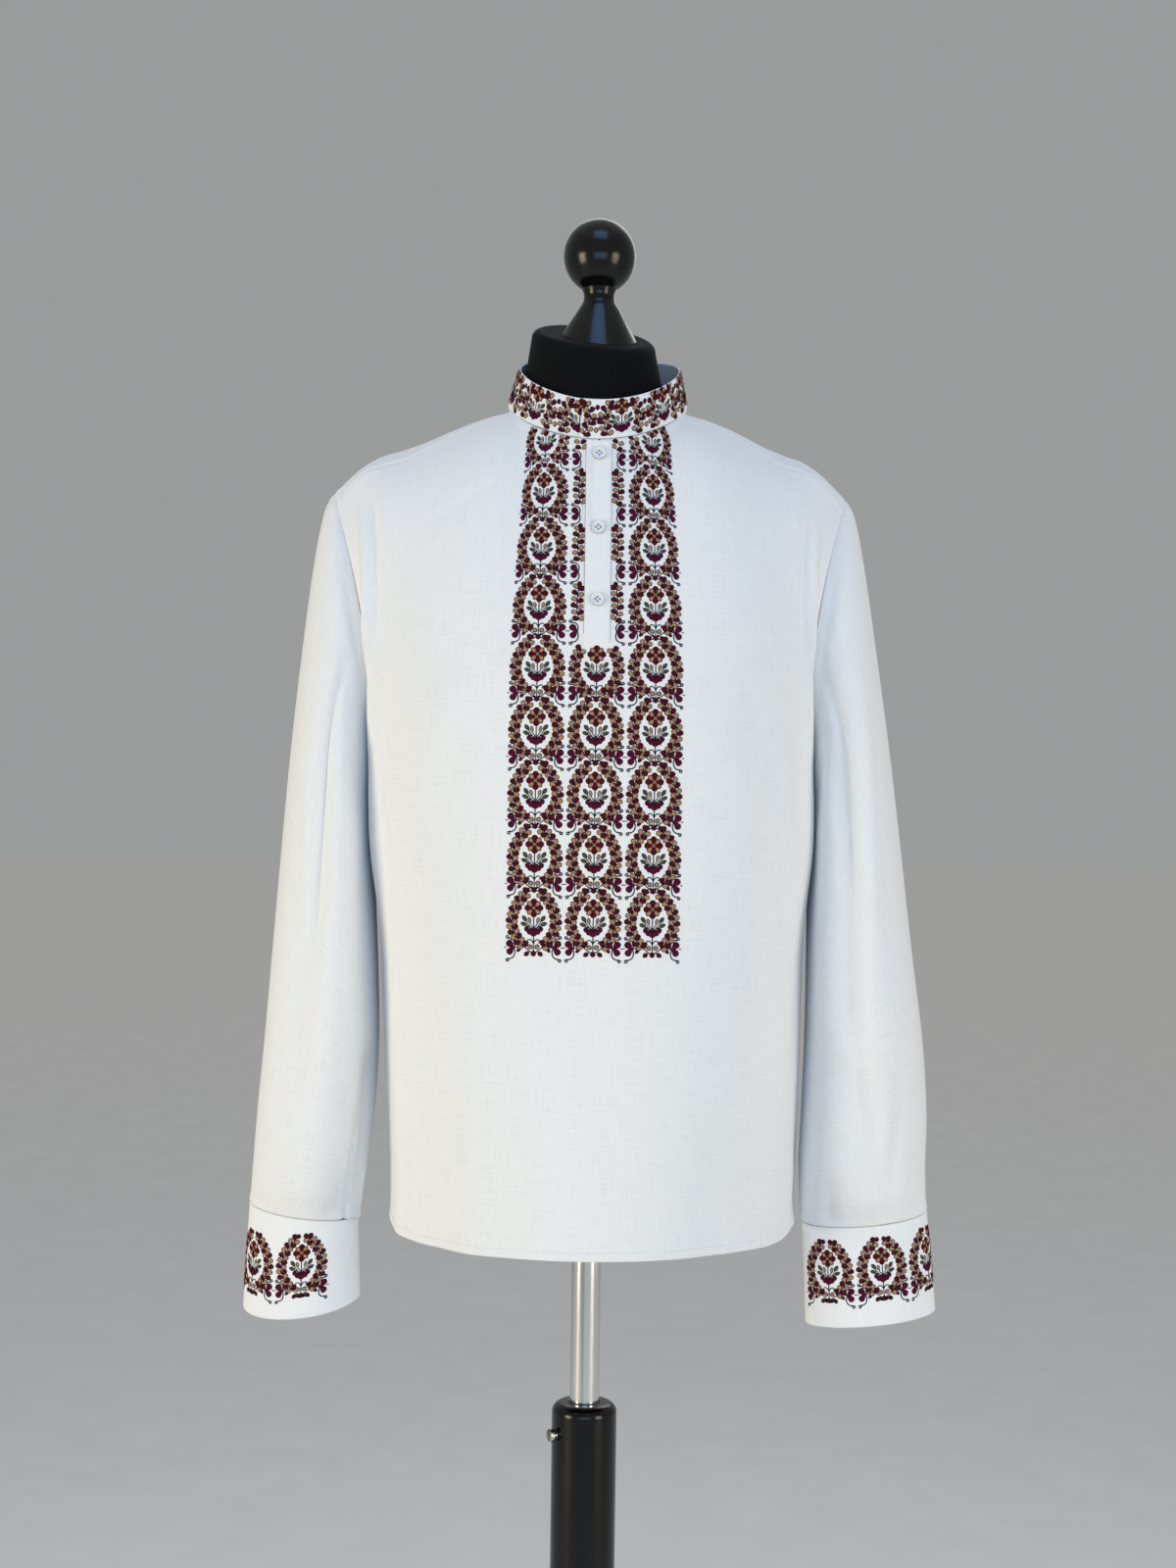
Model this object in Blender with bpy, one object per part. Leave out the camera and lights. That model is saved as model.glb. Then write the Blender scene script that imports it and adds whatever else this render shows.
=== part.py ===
"""An embroidered folk shirt with a stand collar, on a limbless dress form with a telescopic stand.

Units are metres, +Z is up and the front of the shirt faces -Y. Left and right in the names are as
seen from the front: left is towards -X. The origin lies on the floor below the pole. Cloth pieces
are thin walls about a middle surface, which functions work out from short tables of sections;
seams keep a gap of 0.3 mm.
"""
import math
from collections import namedtuple

import bmesh
import bpy
from mathutils import Vector

# ---------------------------------------------------------------- driving sizes
CLOTH = 0.0015            # thickness of the body and sleeve cloth
BAND_CLOTH = 0.0020       # thickness of the two-layer collar and cuffs
SEAM_GAP = 0.0003         # clearance between neighbouring solids
ARMPIT_Z = 1.150
HALF_GIRTH = 0.25         # cloth from the centre of a panel to its side seam
HEM_SIDE_RISE = 0.008     # the hem curves up by this much at the side seams
NECK_SHARE = 1 / 3        # share of a half panel's width that ends in the neckline
SEAM_ANGLE = math.radians(72)      # where the forward shoulder seam meets the neckline
ARM_SEAM_ANGLE = math.radians(32)  # where it meets the armhole, forward of the top

COLLAR_LAP = math.radians(9.5)     # half the overlap of the collar's ends
LAP_DROP = 0.0026                  # how far an under layer lies inside its upper layer
COLLAR_TOP_MID_X = 0.0015
COLLAR_TOP_HALF_WIDTH, COLLAR_TOP_HALF_DEPTH = 0.0650, 0.0625
COLLAR_TOP_Z, COLLAR_TOP_DIP = 1.4700, 0.0090

PLACKET_HALF_WIDTH = 0.0100
PLACKET_BOTTOM, PLACKET_TOP = 1.2380, 1.4000
PLACKET_CLOTH = 0.0012
SLIT_HALF_WIDTH = 0.0006
SLIT_BOTTOM = 1.2500
BUTTON_RADIUS = 0.0057
BUTTON_THICKNESS = 0.0022
BUTTON_HEIGHTS = (1.3885, 1.3280, 1.2710)
CUFF_BUTTON_ANGLE = math.radians(215)

NECK_RADIUS = 0.0510
NECK_LEAN = -0.0040       # the form's neck stands off the pole's axis
NECK_FOOT_RADIUS = 0.0545
NECK_FOOT_Z, NECK_FOOT_SLOPE = 1.452, 0.35
NECK_TOP = 1.4975
NECK_TOP_SLOPE = math.tan(math.radians(21))   # down to the front
NECK_TOP_TILT = -0.11     # and a little down to the right
NECK_TOP_EDGE = 0.004     # the rounding of the neck's top edge
FINIAL_RADIUS, FINIAL_HALF_HEIGHT, FINIAL_MID = 0.0286, 0.0305, 1.5635
FINIAL_FOOT_RADIUS, FINIAL_SHOULDER_RADIUS, FINIAL_SHOULDER_Z = 0.031, 0.0197, 1.517
POLE_RADIUS = 0.0121
POLE_BOTTOM, POLE_TOP = 0.300, 0.980
COLUMN_RADIUS = 0.0266
COLUMN_TOP = 0.6225
COLUMN_FLOOR = 0.060      # bottom of the column's bore
BORE_CLEARANCE = 0.0005
BASE_RADIUS = 0.178
BASE_THICKNESS = 0.014
SCREW_Z = 0.599
SCREW_ANGLE = math.radians(59)     # to the left of the front


class Table:
    """Rows of named columns. Between rows, values follow a smooth curve through them."""

    def __init__(self, columns, *rows):
        self.row_type = namedtuple("Row", columns)
        self.rows = rows

    def slope(self, i, column):
        low, high = self.rows[max(i - 1, 0)], self.rows[min(i + 1, len(self.rows) - 1)]
        return (high[column] - low[column]) / (high[0] - low[0])

    def value(self, i, share, column):
        a, b = self.rows[i], self.rows[i + 1]
        span = b[0] - a[0]
        bend_a, bend_b = self.slope(i, column) * span, self.slope(i + 1, column) * span
        h01 = share * share * (3 - 2 * share)
        h10 = share * (1 - share) ** 2
        h11 = share * share * (share - 1)
        return a[column] * (1 - h01) + b[column] * h01 + bend_a * h10 + bend_b * h11

    def at(self, key):
        key = min(max(key, self.rows[0][0]), self.rows[-1][0])
        i = 0
        while i < len(self.rows) - 2 and key > self.rows[i + 1][0]:
            i += 1
        share = (key - self.rows[i][0]) / (self.rows[i + 1][0] - self.rows[i][0])
        return self.row_type(*(self.value(i, share, c) for c in range(len(self.rows[0]))))


# Sections of the shirt's body below the armpits.
BODY = Table(
    "z half_width front_y back_y seam_y power",
    (0.766, 0.1620, -0.1310, 0.124, 0.020, 2.04),
    (0.810, 0.1625, -0.1318, 0.126, 0.020, 2.10),
    (0.890, 0.1665, -0.1330, 0.126, 0.018, 2.25),
    (1.000, 0.1715, -0.1350, 0.122, 0.012, 2.35),
    (1.090, 0.1762, -0.1366, 0.117, 0.004, 2.45),
    (1.150, 0.1765, -0.1370, 0.115, 0.000, 2.50),
)
# The ring where the collar meets the body, tilted down to the front.
NECK_HALF_WIDTH, NECK_HALF_DEPTH, NECK_MID_Y = 0.0725, 0.0700, -0.0060
NECK_SIDE_Z, NECK_SLOPE, NECK_DIP = 1.4395, 0.02665, 0.01115
# How far the shoulder seam arches above a straight line, from neck to sleeve.
SHOULDER_ARCH = Table(
    "share rise",
    (0.00, 0.0000),
    (0.15, 0.0048),
    (0.35, 0.0078),
    (0.60, 0.0094),
    (0.82, 0.0175),
    (0.94, 0.0135),
    (1.00, 0.0000),
)
# Direction of the cloth where a panel ends at the neckline or shoulder seam.
FRONT_EDGE = Table(
    "s x y z",
    (0.00, 0.00, 0.36, 0.93),
    (0.18, -0.02, 0.48, 0.86),
    (0.34, -0.10, 0.84, 0.48),
    (0.60, -0.09, 0.82, 0.57),
    (1.00, 0.00, 0.82, 0.57),
)
BACK_EDGE = Table(
    "s x y z",
    (0.00, 0.00, -0.42, 0.90),
    (0.14, 0.05, -0.56, 0.82),
    (0.20, 0.05, -0.74, 0.64),
    (0.27, 0.00, -0.96, 0.12),
    (0.34, -0.15, -0.94, -0.30),
    (0.60, -0.07, -0.82, -0.57),
    (1.00, 0.00, -0.82, -0.57),
)
# The armhole seam: its top and bottom on the shoulder and under the arm.
ARMHOLE_TOP = Vector((0.2095, 0.0, 1.365))
ARMHOLE_BOTTOM = Vector((0.1765, 0.0, ARMPIT_Z))
ARMHOLE_DEPTH, ARMHOLE_BOW = 0.056, 0.0105
# Sleeve rings: the outer and inner points of each, its half depth, inward bow and dip at the front.
SLEEVE = Table(
    "t outer_x outer_z inner_left inner_right inner_z depth bow dip",
    (0.00, 0.2095, 1.3650, 0.1765, 0.1765, 1.1500, 0.056, 0.0105, 0.0000),
    (0.05, 0.2170, 1.3510, 0.1795, 0.1795, 1.1340, 0.061, 0.0060, 0.0000),
    (0.12, 0.2250, 1.3120, 0.1812, 0.1812, 1.1120, 0.066, 0.0020, 0.0000),
    (0.22, 0.2342, 1.2500, 0.1815, 0.1812, 1.0800, 0.070, 0.0000, 0.0000),
    (0.35, 0.2447, 1.1650, 0.1805, 0.1796, 1.0350, 0.072, 0.0000, 0.0000),
    (0.50, 0.2550, 1.0700, 0.1788, 0.1776, 0.9800, 0.070, 0.0000, 0.0000),
    (0.65, 0.2652, 0.9650, 0.1778, 0.1740, 0.9150, 0.065, 0.0000, 0.0002),
    (0.80, 0.2727, 0.8750, 0.1800, 0.1728, 0.8550, 0.057, 0.0000, 0.0012),
    (0.92, 0.2762, 0.8130, 0.1865, 0.1745, 0.8020, 0.045, 0.0000, 0.0030),
    (1.00, 0.2780, 0.7852, 0.1895, 0.1766, 0.7750, 0.030, 0.0000, 0.0040),
)
# Cuff rings from the top down: height, its rise to the outside and its dip to the front.
CUFF_LEFT = Table(
    "share mid_x half_x half_y z rise dip",
    (0.00, 0.2338, 0.0442, 0.0300, 0.7792, 0.0051, 0.0040),
    (0.50, 0.2344, 0.0458, 0.0308, 0.7418, -0.0001, 0.0068),
    (1.00, 0.2348, 0.0475, 0.0315, 0.7045, -0.0053, 0.0096),
)
CUFF_RIGHT = Table(
    "share mid_x half_x half_y z rise dip",
    (0.00, 0.2272, 0.0508, 0.0300, 0.7792, 0.0051, 0.0040),
    (0.50, 0.2306, 0.0518, 0.0308, 0.7381, 0.0054, 0.0029),
    (1.00, 0.2334, 0.0528, 0.0315, 0.6970, 0.0058, 0.0018),
)
# The shirt hangs a little uneven: how far its sleeves and its sides lie off towards +X.
SWAY = Table(
    "z sleeve_left sleeve_right side_left side_right",
    (0.690, 0.0020, 0.0000, 0.0000, 0.0085),
    (0.770, 0.0020, 0.0000, 0.0000, 0.0085),
    (0.820, 0.0024, 0.0005, 0.0000, 0.0080),
    (0.860, 0.0032, 0.0030, 0.0000, 0.0070),
    (0.920, 0.0040, 0.0035, 0.0000, 0.0050),
    (1.000, 0.0030, 0.0000, 0.0000, 0.0022),
    (1.100, 0.0008, -0.0024, 0.0003, -0.0015),
    (1.150, -0.0005, -0.0034, -0.0005, -0.0034),
    (1.250, -0.0024, -0.0058, -0.0024, -0.0058),
    (1.340, -0.0045, -0.0060, -0.0045, -0.0060),
    (1.400, -0.0042, -0.0050, -0.0042, -0.0050),
    (1.435, 0.0000, 0.0000, 0.0000, 0.0000),
)

Fold = namedtuple("Fold", "panel s_top z_top s_bottom z_bottom width depth")
# Main folds of the body: lines across a panel, ridges positive and troughs negative.
BODY_FOLDS = (
    Fold("front", -0.90, 1.360, -0.84, 0.980, 0.017, 0.0070),
    Fold("front", 0.90, 1.360, 0.84, 0.980, 0.017, 0.0065),
    Fold("front", -0.40, 1.225, -0.62, 1.090, 0.020, 0.0030),
    Fold("front", 0.46, 1.230, 0.72, 0.980, 0.018, -0.0030),
    Fold("front", -0.37, 1.020, -0.36, 0.700, 0.018, 0.0028),
    Fold("front", 0.66, 0.960, 0.62, 0.700, 0.024, 0.0030),
    Fold("back", -0.80, 1.320, -0.76, 0.560, 0.026, 0.0095),
    Fold("back", -0.50, 1.240, -0.45, 0.560, 0.024, 0.0125),
    Fold("back", -0.20, 1.290, -0.15, 0.560, 0.024, 0.0100),
    Fold("back", 0.10, 1.200, 0.17, 0.560, 0.024, 0.0120),
    Fold("back", 0.42, 1.270, 0.47, 0.560, 0.024, 0.0110),
    Fold("back", 0.79, 1.320, 0.75, 0.560, 0.026, 0.0090),
)
SleeveFold = namedtuple("SleeveFold", "side angle_top t_top angle_bottom t_bottom width depth")
# Main folds of the sleeves, by degrees round the arm: 0 outside, 90 front, 180 inside.
SLEEVE_FOLDS = (
    SleeveFold(-1, 92, 0.10, 62, 0.86, 17, -0.0060),
    SleeveFold(-1, 128, 0.14, 104, 0.80, 18, 0.0035),
    SleeveFold(-1, 158, 0.62, 150, 0.98, 13, -0.0045),
    SleeveFold(-1, -70, 0.20, -58, 0.98, 20, -0.0060),
    SleeveFold(-1, -125, 0.12, -118, 0.80, 20, -0.0050),
    SleeveFold(1, 104, 0.08, 112, 0.72, 15, -0.0060),
    SleeveFold(1, 134, 0.10, 142, 0.70, 16, 0.0035),
    SleeveFold(1, 122, 0.66, 74, 0.97, 14, -0.0045),
    SleeveFold(1, -62, 0.16, -74, 0.98, 20, -0.0060),
    SleeveFold(1, -120, 0.20, -128, 0.86, 20, -0.0050),
)
# Pleats that take the sleeve into its cuff, by degrees round the arm.
CUFF_PLEATS = (-150, -118, -86, 126)
PLEAT_START, PLEAT_WIDTH, PLEAT_DEPTH = 0.86, 9, 0.0038

# How far panels stop short of their seams.
SIDE_TRIM, SHOULDER_TRIM, NECK_TRIM = 0.00025, 0.00035, 0.0006
EASE_PASSES = 10

# The form's sections below the armpits, bottom first.
FORM = Table(
    "z half_width front_y back_y power",
    (0.832, 0.1080, -0.0820, 0.088, 2.2),
    (0.838, 0.1240, -0.0960, 0.100, 2.2),
    (0.856, 0.1340, -0.1050, 0.106, 2.2),
    (0.940, 0.1400, -0.1100, 0.106, 2.2),
    (1.040, 0.1420, -0.1120, 0.100, 2.2),
    (1.110, 0.1540, -0.1230, 0.101, 2.2),
    (1.150, 0.1600, -0.1270, 0.102, 2.2),
)
# How far the form lies inside the cloth's middle surface, from the armpits up.
FORM_INSET = Table(
    "v inset",
    (0.00, 0.0110),
    (0.40, 0.0070),
    (0.80, 0.0028),
    (1.00, 0.0016),
)
FORM_ARM_INSET, FORM_NECK_INSET = 0.004, 0.006
NECK_COLUMNS, SIDE_COLUMNS = 5, 8   # columns of a half panel, up to the neck and past it
LOWER_ROWS, UPPER_ROWS = 10, 11
SLEEVE_COLUMNS, SLEEVE_ROWS = 22, 16
COLLAR_COLUMNS, CUFF_COLUMNS, BAND_ROWS = 44, 28, 2
FORM_HEIGHTS = (0.832, 0.838, 0.856, 0.940, 1.040, 1.110)
TURN_SEGMENTS = 24


# ---------------------------------------------------------------- shared helpers
def smoothstep(value):
    value = min(max(value, 0.0), 1.0)
    return value * value * (3 - 2 * value)


def spread(low, high, steps):
    """The ends of equal steps from low to high."""
    return [low + (high - low) * i / steps for i in range(steps + 1)]


def material(name, colour, roughness, metallic=0.0):
    made = bpy.data.materials.new(name)
    made.use_nodes = True
    shader = made.node_tree.nodes["Principled BSDF"]
    shader.inputs["Base Color"].default_value = (*colour, 1.0)
    shader.inputs["Roughness"].default_value = roughness
    shader.inputs["Metallic"].default_value = metallic
    made.diffuse_color = (*colour, 1.0)
    return made


def add_object(name, bm, finish, sharp_degrees=40):
    bmesh.ops.recalc_face_normals(bm, faces=bm.faces)
    mesh = bpy.data.meshes.new(name)
    bm.to_mesh(mesh)
    bm.free()
    mesh.shade_smooth()
    mesh.set_sharp_from_angle(angle=math.radians(sharp_degrees))
    made = bpy.data.objects.new(name, mesh)
    made.data.materials.append(material(name + "_finish", *finish))
    bpy.context.scene.collection.objects.link(made)
    return made


def grid_normals(grid, closed):
    """A unit normal at each point of a grid, from its neighbours."""
    rows, columns = len(grid), len(grid[0])
    normals = []
    for i in range(rows):
        line = []
        for j in range(columns):
            if closed:
                across = grid[i][(j + 1) % columns] - grid[i][j - 1]
            else:
                across = grid[i][min(j + 1, columns - 1)] - grid[i][max(j - 1, 0)]
            along = grid[min(i + 1, rows - 1)][j] - grid[max(i - 1, 0)][j]
            line.append(across.cross(along).normalized())
        normals.append(line)
    return normals


def wall(name, grid, thickness, finish, closed=False, left_out=()):
    """A solid wall about a grid of middle points; left_out names cells that are holes."""
    normals = grid_normals(grid, closed)
    rows, columns = len(grid), len(grid[0])
    cells = [
        (i, j)
        for i in range(rows - 1)
        for j in range(columns if closed else columns - 1)
        if (i, j) not in left_out
    ]
    bm = bmesh.new()
    corners = {}

    def corner(i, j, side):
        key = (i, j % columns, side)
        if key not in corners:
            point = grid[i][j % columns] + normals[i][j % columns] * (side * thickness / 2)
            corners[key] = bm.verts.new(point)
        return corners[key]

    edges = {}
    for i, j in cells:
        ring = [(i, j), (i, j + 1), (i + 1, j + 1), (i + 1, j)]
        bm.faces.new([corner(*c, 1) for c in ring])
        bm.faces.new([corner(*c, -1) for c in reversed(ring)])
        for a, b in zip(ring, ring[1:] + ring[:1]):
            pair = frozenset(((a[0], a[1] % columns), (b[0], b[1] % columns)))
            edges.setdefault(pair, []).append((a, b))
    for uses in edges.values():
        if len(uses) == 1:
            a, b = uses[0]
            bm.faces.new([corner(*a, 1), corner(*a, -1), corner(*b, -1), corner(*b, 1)])
    return add_object(name, bm, finish)


def turned(name, profile, finish, segments=TURN_SEGMENTS, foot=None):
    """A solid turned about Z from (radius, z) points that start and end on the axis.

    foot may give the first ring's radius and height by angle, where it is cut on a slant.
    """
    bm = bmesh.new()
    rings = []
    for index, (radius, z) in enumerate(profile):
        if radius == 0:
            rings.append([bm.verts.new((0, 0, z))])
            continue
        ring = []
        for k in range(segments):
            angle = 2 * math.pi * k / segments
            if foot and index == 1:
                radius, z = foot(angle)
            ring.append(bm.verts.new((radius * math.cos(angle), radius * math.sin(angle), z)))
        rings.append(ring)
    for low, high in zip(rings, rings[1:]):
        for k in range(segments):
            n = (k + 1) % segments
            if len(low) == 1:
                bm.faces.new((low[0], high[n], high[k]))
            elif len(high) == 1:
                bm.faces.new((low[k], low[n], high[0]))
            else:
                bm.faces.new((low[k], low[n], high[n], high[k]))
    return add_object(name, bm, finish)


def arc(mid_radius, mid_z, size, start, end, steps, height=None):
    """Profile points on an arc, angles in degrees from the outward radius."""
    points = []
    for angle in spread(math.radians(start), math.radians(end), steps):
        z = mid_z + (height or size) * math.sin(angle)
        points.append((mid_radius + size * math.cos(angle), z))
    return points


# ---------------------------------------------------------------- the body's surface
def neck_ring(angle):
    """A point of the neckline, by its angle from the front towards +X."""
    cosine = math.cos(angle)
    return Vector((
        NECK_HALF_WIDTH * math.sin(angle),
        NECK_MID_Y - NECK_HALF_DEPTH * cosine,
        NECK_SIDE_Z - NECK_SLOPE * cosine - NECK_DIP * cosine * cosine,
    ))


def armhole(angle):
    """A point of the armhole, by its angle from the top towards the front."""
    mid = (ARMHOLE_TOP + ARMHOLE_BOTTOM) / 2
    half = (ARMHOLE_TOP - ARMHOLE_BOTTOM) / 2
    sine = math.sin(angle)
    point = mid + half * math.cos(angle)
    return point + Vector((-ARMHOLE_BOW * sine * sine, -ARMHOLE_DEPTH * sine, 0))


def section(row, seam_y, s, back):
    """A point of a body section at share s from its centre (0) to its side seam (1)."""
    sine = math.sin(s * math.pi / 2)
    reach = (1 - abs(sine) ** row.power) ** (1 / row.power)
    far = row.back_y if back else row.front_y
    return Vector((row.half_width * sine, seam_y + (far - seam_y) * reach, row.z))


def hem_height(s):
    """The hem is level, and curves up next to the side seams."""
    return BODY.rows[0][0] + HEM_SIDE_RISE * smoothstep((abs(s) - 0.72) / 0.26)


def top_edge(s, back):
    """The panel's end at the neckline or the shoulder seam, for s from 0 to 1."""
    if s <= NECK_SHARE:
        share = s / NECK_SHARE
        angle = math.pi - share * (math.pi - SEAM_ANGLE) if back else share * SEAM_ANGLE
        return neck_ring(angle)
    share = (s - NECK_SHARE) / (1 - NECK_SHARE)
    point = neck_ring(SEAM_ANGLE).lerp(armhole(ARM_SEAM_ANGLE), share)
    return point + Vector((0, 0, SHOULDER_ARCH.at(share).rise))


def bezier(a, b, c, d, t):
    u = 1 - t
    return a * u ** 3 + b * 3 * u * u * t + c * 3 * u * t * t + d * t ** 3


def upper_profile(s, v, back):
    """Cloth from the chest (v 0) to the top edge (v 1), before it is fitted to the armhole."""
    row = BODY.at(ARMPIT_Z)
    low = section(row, row.seam_y, s, back)
    high = top_edge(s, back)
    edge = (BACK_EDGE if back else FRONT_EDGE).at(s)
    heading = Vector((edge.x, edge.y, edge.z)).normalized()
    rise, reach = (0.130, 0.080) if back else (0.085, 0.085)
    return bezier(low, low + Vector((0, 0, rise)), high - heading * reach, high, v)


def body_form(s, r, back):
    """The body's smooth surface: r is 0 at the hem, 1 at the armpits and 2 at the top edge."""
    mirror = -1 if s < 0 else 1
    s = abs(s)
    if r <= 1:
        hem = hem_height(s)
        row = BODY.at(hem + (ARMPIT_Z - hem) * r)
        point = section(row, row.seam_y, s, back)
    else:
        v = r - 1
        point = upper_profile(s, v, back)
        if back:
            angle = -math.pi + v * (math.pi + ARM_SEAM_ANGLE)
        else:
            angle = math.pi - v * (math.pi - ARM_SEAM_ANGLE)
        point += (armhole(angle) - upper_profile(1, v, back)) * s ** 5
    sway = SWAY.at(point.z)
    share = smoothstep((s - NECK_SHARE) / (1 - NECK_SHARE))
    point.x = point.x * mirror + share * (sway.side_left if mirror < 0 else sway.side_right)
    return point


def eased(grid, first_row):
    """Creases of a grid smoothed out by passes that pull in and push out; its edges stay."""
    for _ in range(EASE_PASSES):
        for pull in (0.50, -0.52):
            source = [line[:] for line in grid]
            for i in range(first_row, len(grid) - 1):
                for j in range(1, len(grid[0]) - 1):
                    beside = source[i][j - 1] + source[i][j + 1]
                    above = source[i - 1][j] + source[i + 1][j]
                    grid[i][j] = source[i][j].lerp((beside + above) / 4, pull)
    return grid


def body_grid(back):
    """The body's smooth middle surface at the panels' rows and columns."""
    grid = [[body_form(s, r, back) for s in panel_columns()] for r in panel_rows()]
    return eased(grid, LOWER_ROWS)


def outward(normals, back):
    """Grid normals turned to face away from the wearer."""
    return [[-n if back else n for n in line] for line in normals]


def fold_height(folds, s, z, half_girth):
    """The folds' height at a place on a panel: soft ridges and troughs along lines."""
    total = 0.0
    for fold in folds:
        share = (fold.z_top - z) / (fold.z_top - fold.z_bottom)
        if not 0 < share < 1:
            continue
        mid = fold.s_top + (fold.s_bottom - fold.s_top) * share
        across = (s - mid) * half_girth / fold.width
        ends = smoothstep(share / 0.3) * smoothstep((1 - share) / 0.3)
        total += fold.depth * ends * math.exp(-across * across)
    return total


def panel_columns():
    """The shares across a panel: close together at the neck, and one where the neckline ends."""
    half = spread(0, NECK_SHARE, NECK_COLUMNS)[:-1] + spread(NECK_SHARE, 1, SIDE_COLUMNS)
    return [-s for s in reversed(half[1:])] + half


def panel_rows():
    return spread(0, 1, LOWER_ROWS)[:-1] + spread(1, 2, UPPER_ROWS)


def panel_grid(back):
    """The panel's middle surface with its folds, each edge kept just short of its seam."""
    smooth = body_grid(back)
    normals = outward(grid_normals(smooth, False), back)
    folds = [f for f in BODY_FOLDS if f.panel == ("back" if back else "front")]
    grid = []
    for i, r in enumerate(panel_rows()):
        line = []
        for j, s in enumerate(panel_columns()):
            point = smooth[i][j]
            edge = smoothstep((1 - abs(s)) / 0.09) * smoothstep((2 - r) / 0.2)
            line.append(point + normals[i][j] * (edge * fold_height(folds, s, point.z, HALF_GIRTH)))
        grid.append(line)
    for line in grid:
        for edge, beside in ((0, 1), (-1, -2)):
            line[edge] = line[edge] + (line[beside] - line[edge]).normalized() * SIDE_TRIM
    for j, s in enumerate(panel_columns()):
        trim = NECK_TRIM if abs(s) < NECK_SHARE + 0.001 else SHOULDER_TRIM
        grid[-1][j] = grid[-1][j] + (grid[-2][j] - grid[-1][j]).normalized() * trim
    return grid


LINEN = ((0.86, 0.86, 0.85), 0.85)
BLACK_CLOTH = ((0.012, 0.012, 0.013), 0.85)
BLACK_GLOSS = ((0.010, 0.010, 0.011), 0.12)
CHROME = ((0.62, 0.62, 0.63), 0.18, 1.0)
BUTTON_WHITE = ((0.88, 0.88, 0.87), 0.3)


def front_and_back():
    """Both panels; the front is slit down from the neck. Returns the front's middle surface."""
    wall("back", panel_grid(True), CLOTH, LINEN)
    whole = panel_grid(False)
    middle = len(whole[0]) // 2
    grid = []
    for line in whole:
        share = SLIT_HALF_WIDTH / (line[middle + 1].x - line[middle].x)
        lips = [line[middle].lerp(line[middle + side], share) for side in (-1, 1)]
        grid.append(line[:middle] + lips + line[middle + 1:])
    cut = {(i, middle) for i in range(len(grid) - 1) if grid[i][middle].z > SLIT_BOTTOM}
    wall("front", grid, CLOTH, LINEN, left_out=cut)
    return whole


# ---------------------------------------------------------------- the placket
def row_at(grid, z):
    """The row of the grid's middle column at a height, with its fraction."""
    middle = len(grid[0]) // 2
    i = 0
    while grid[i + 1][middle].z < z:
        i += 1
    return i + (z - grid[i][middle].z) / (grid[i + 1][middle].z - grid[i][middle].z)


def on_front(grid, x, row, out):
    """A point of the front by its x and row near the centre, moved out along its normal."""
    normals = grid_normals(grid, False)
    middle = len(grid[0]) // 2
    i = min(int(row), len(grid) - 2)
    side = middle + (1 if x > 0 else -1)
    ends = []
    for k in (i, i + 1):
        share = (x - grid[k][middle].x) / (grid[k][side].x - grid[k][middle].x)
        point = grid[k][middle].lerp(grid[k][side], share)
        normal = normals[k][middle].lerp(normals[k][side], share)
        ends.append((point, normal))
    (low, low_normal), (high, high_normal) = ends
    normal = low_normal.lerp(high_normal, row - i).normalized()
    return low.lerp(high, row - i) + normal * out, normal


def plackets(front):
    """The upper band on the front and the lower band behind it, from the front's own rows."""
    lift = (CLOTH + PLACKET_CLOTH) / 2 + SEAM_GAP
    top = row_at(front, PLACKET_TOP)
    for name, out, bottom in (
        ("placket", lift, PLACKET_BOTTOM),
        ("placket_under", -lift, PLACKET_BOTTOM + 0.004),
    ):
        start = row_at(front, bottom)
        grid = []
        for row in [start] + list(range(math.ceil(start), math.ceil(top))) + [top]:
            line = []
            for x in spread(-PLACKET_HALF_WIDTH, PLACKET_HALF_WIDTH, 2):
                line.append(on_front(front, x, row, out)[0])
            grid.append(line)
        wall(name, grid, PLACKET_CLOTH, LINEN)


# ---------------------------------------------------------------- collar, sleeves, cuffs
def lapped_grid(ring, lap, rows, columns):
    """Rows of a band whose ends overlap: ring(angle, inset, row share) gives its points."""
    grid = []
    full = 2 * math.pi
    for share in spread(0, 1, rows):
        line = []
        for angle in spread(-lap, full + lap, columns):
            under = smoothstep((angle - (full - lap - 0.75)) / 0.62)
            line.append(ring(angle, LAP_DROP * under, share))
        grid.append(line)
    return grid


def collar_ring(angle, inset, share):
    """The collar's middle surface: a tilted band a little narrower at its top."""
    low = neck_ring(angle)
    cosine, sine = math.cos(angle), math.sin(angle)
    high = Vector((
        COLLAR_TOP_MID_X + COLLAR_TOP_HALF_WIDTH * sine,
        NECK_MID_Y - COLLAR_TOP_HALF_DEPTH * cosine,
        COLLAR_TOP_Z - NECK_SLOPE * cosine - COLLAR_TOP_DIP * cosine ** 2,
    ))
    rise = (high - low).normalized()
    point = (low + rise * (3 * SEAM_GAP)).lerp(high, share)
    return point - Vector((sine, -cosine, 0)) * inset


def collar():
    grid = lapped_grid(collar_ring, COLLAR_LAP, BAND_ROWS, COLLAR_COLUMNS)
    wall("collar", grid, BAND_CLOTH, LINEN)


def sleeve_ring(side, t, angle):
    """The sleeve's smooth surface before it is mirrored: angle 0 outside, 90 degrees front."""
    row = SLEEVE.at(t)
    inner_x = row.inner_left if side < 0 else row.inner_right
    mid = Vector(((row.outer_x + inner_x) / 2, 0, (row.outer_z + row.inner_z) / 2))
    half = Vector(((row.outer_x - inner_x) / 2, 0, (row.outer_z - row.inner_z) / 2))
    cosine, sine = math.cos(angle), math.sin(angle)
    bend = Vector((-row.bow * sine * sine, -row.depth * sine, -row.dip * sine))
    point = mid + half * cosine + bend
    start = 3 * SEAM_GAP + CLOTH * 1.3 * (1 - cosine) / 2
    point.x += start * (1 - smoothstep(t / 0.1))
    return point


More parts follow.
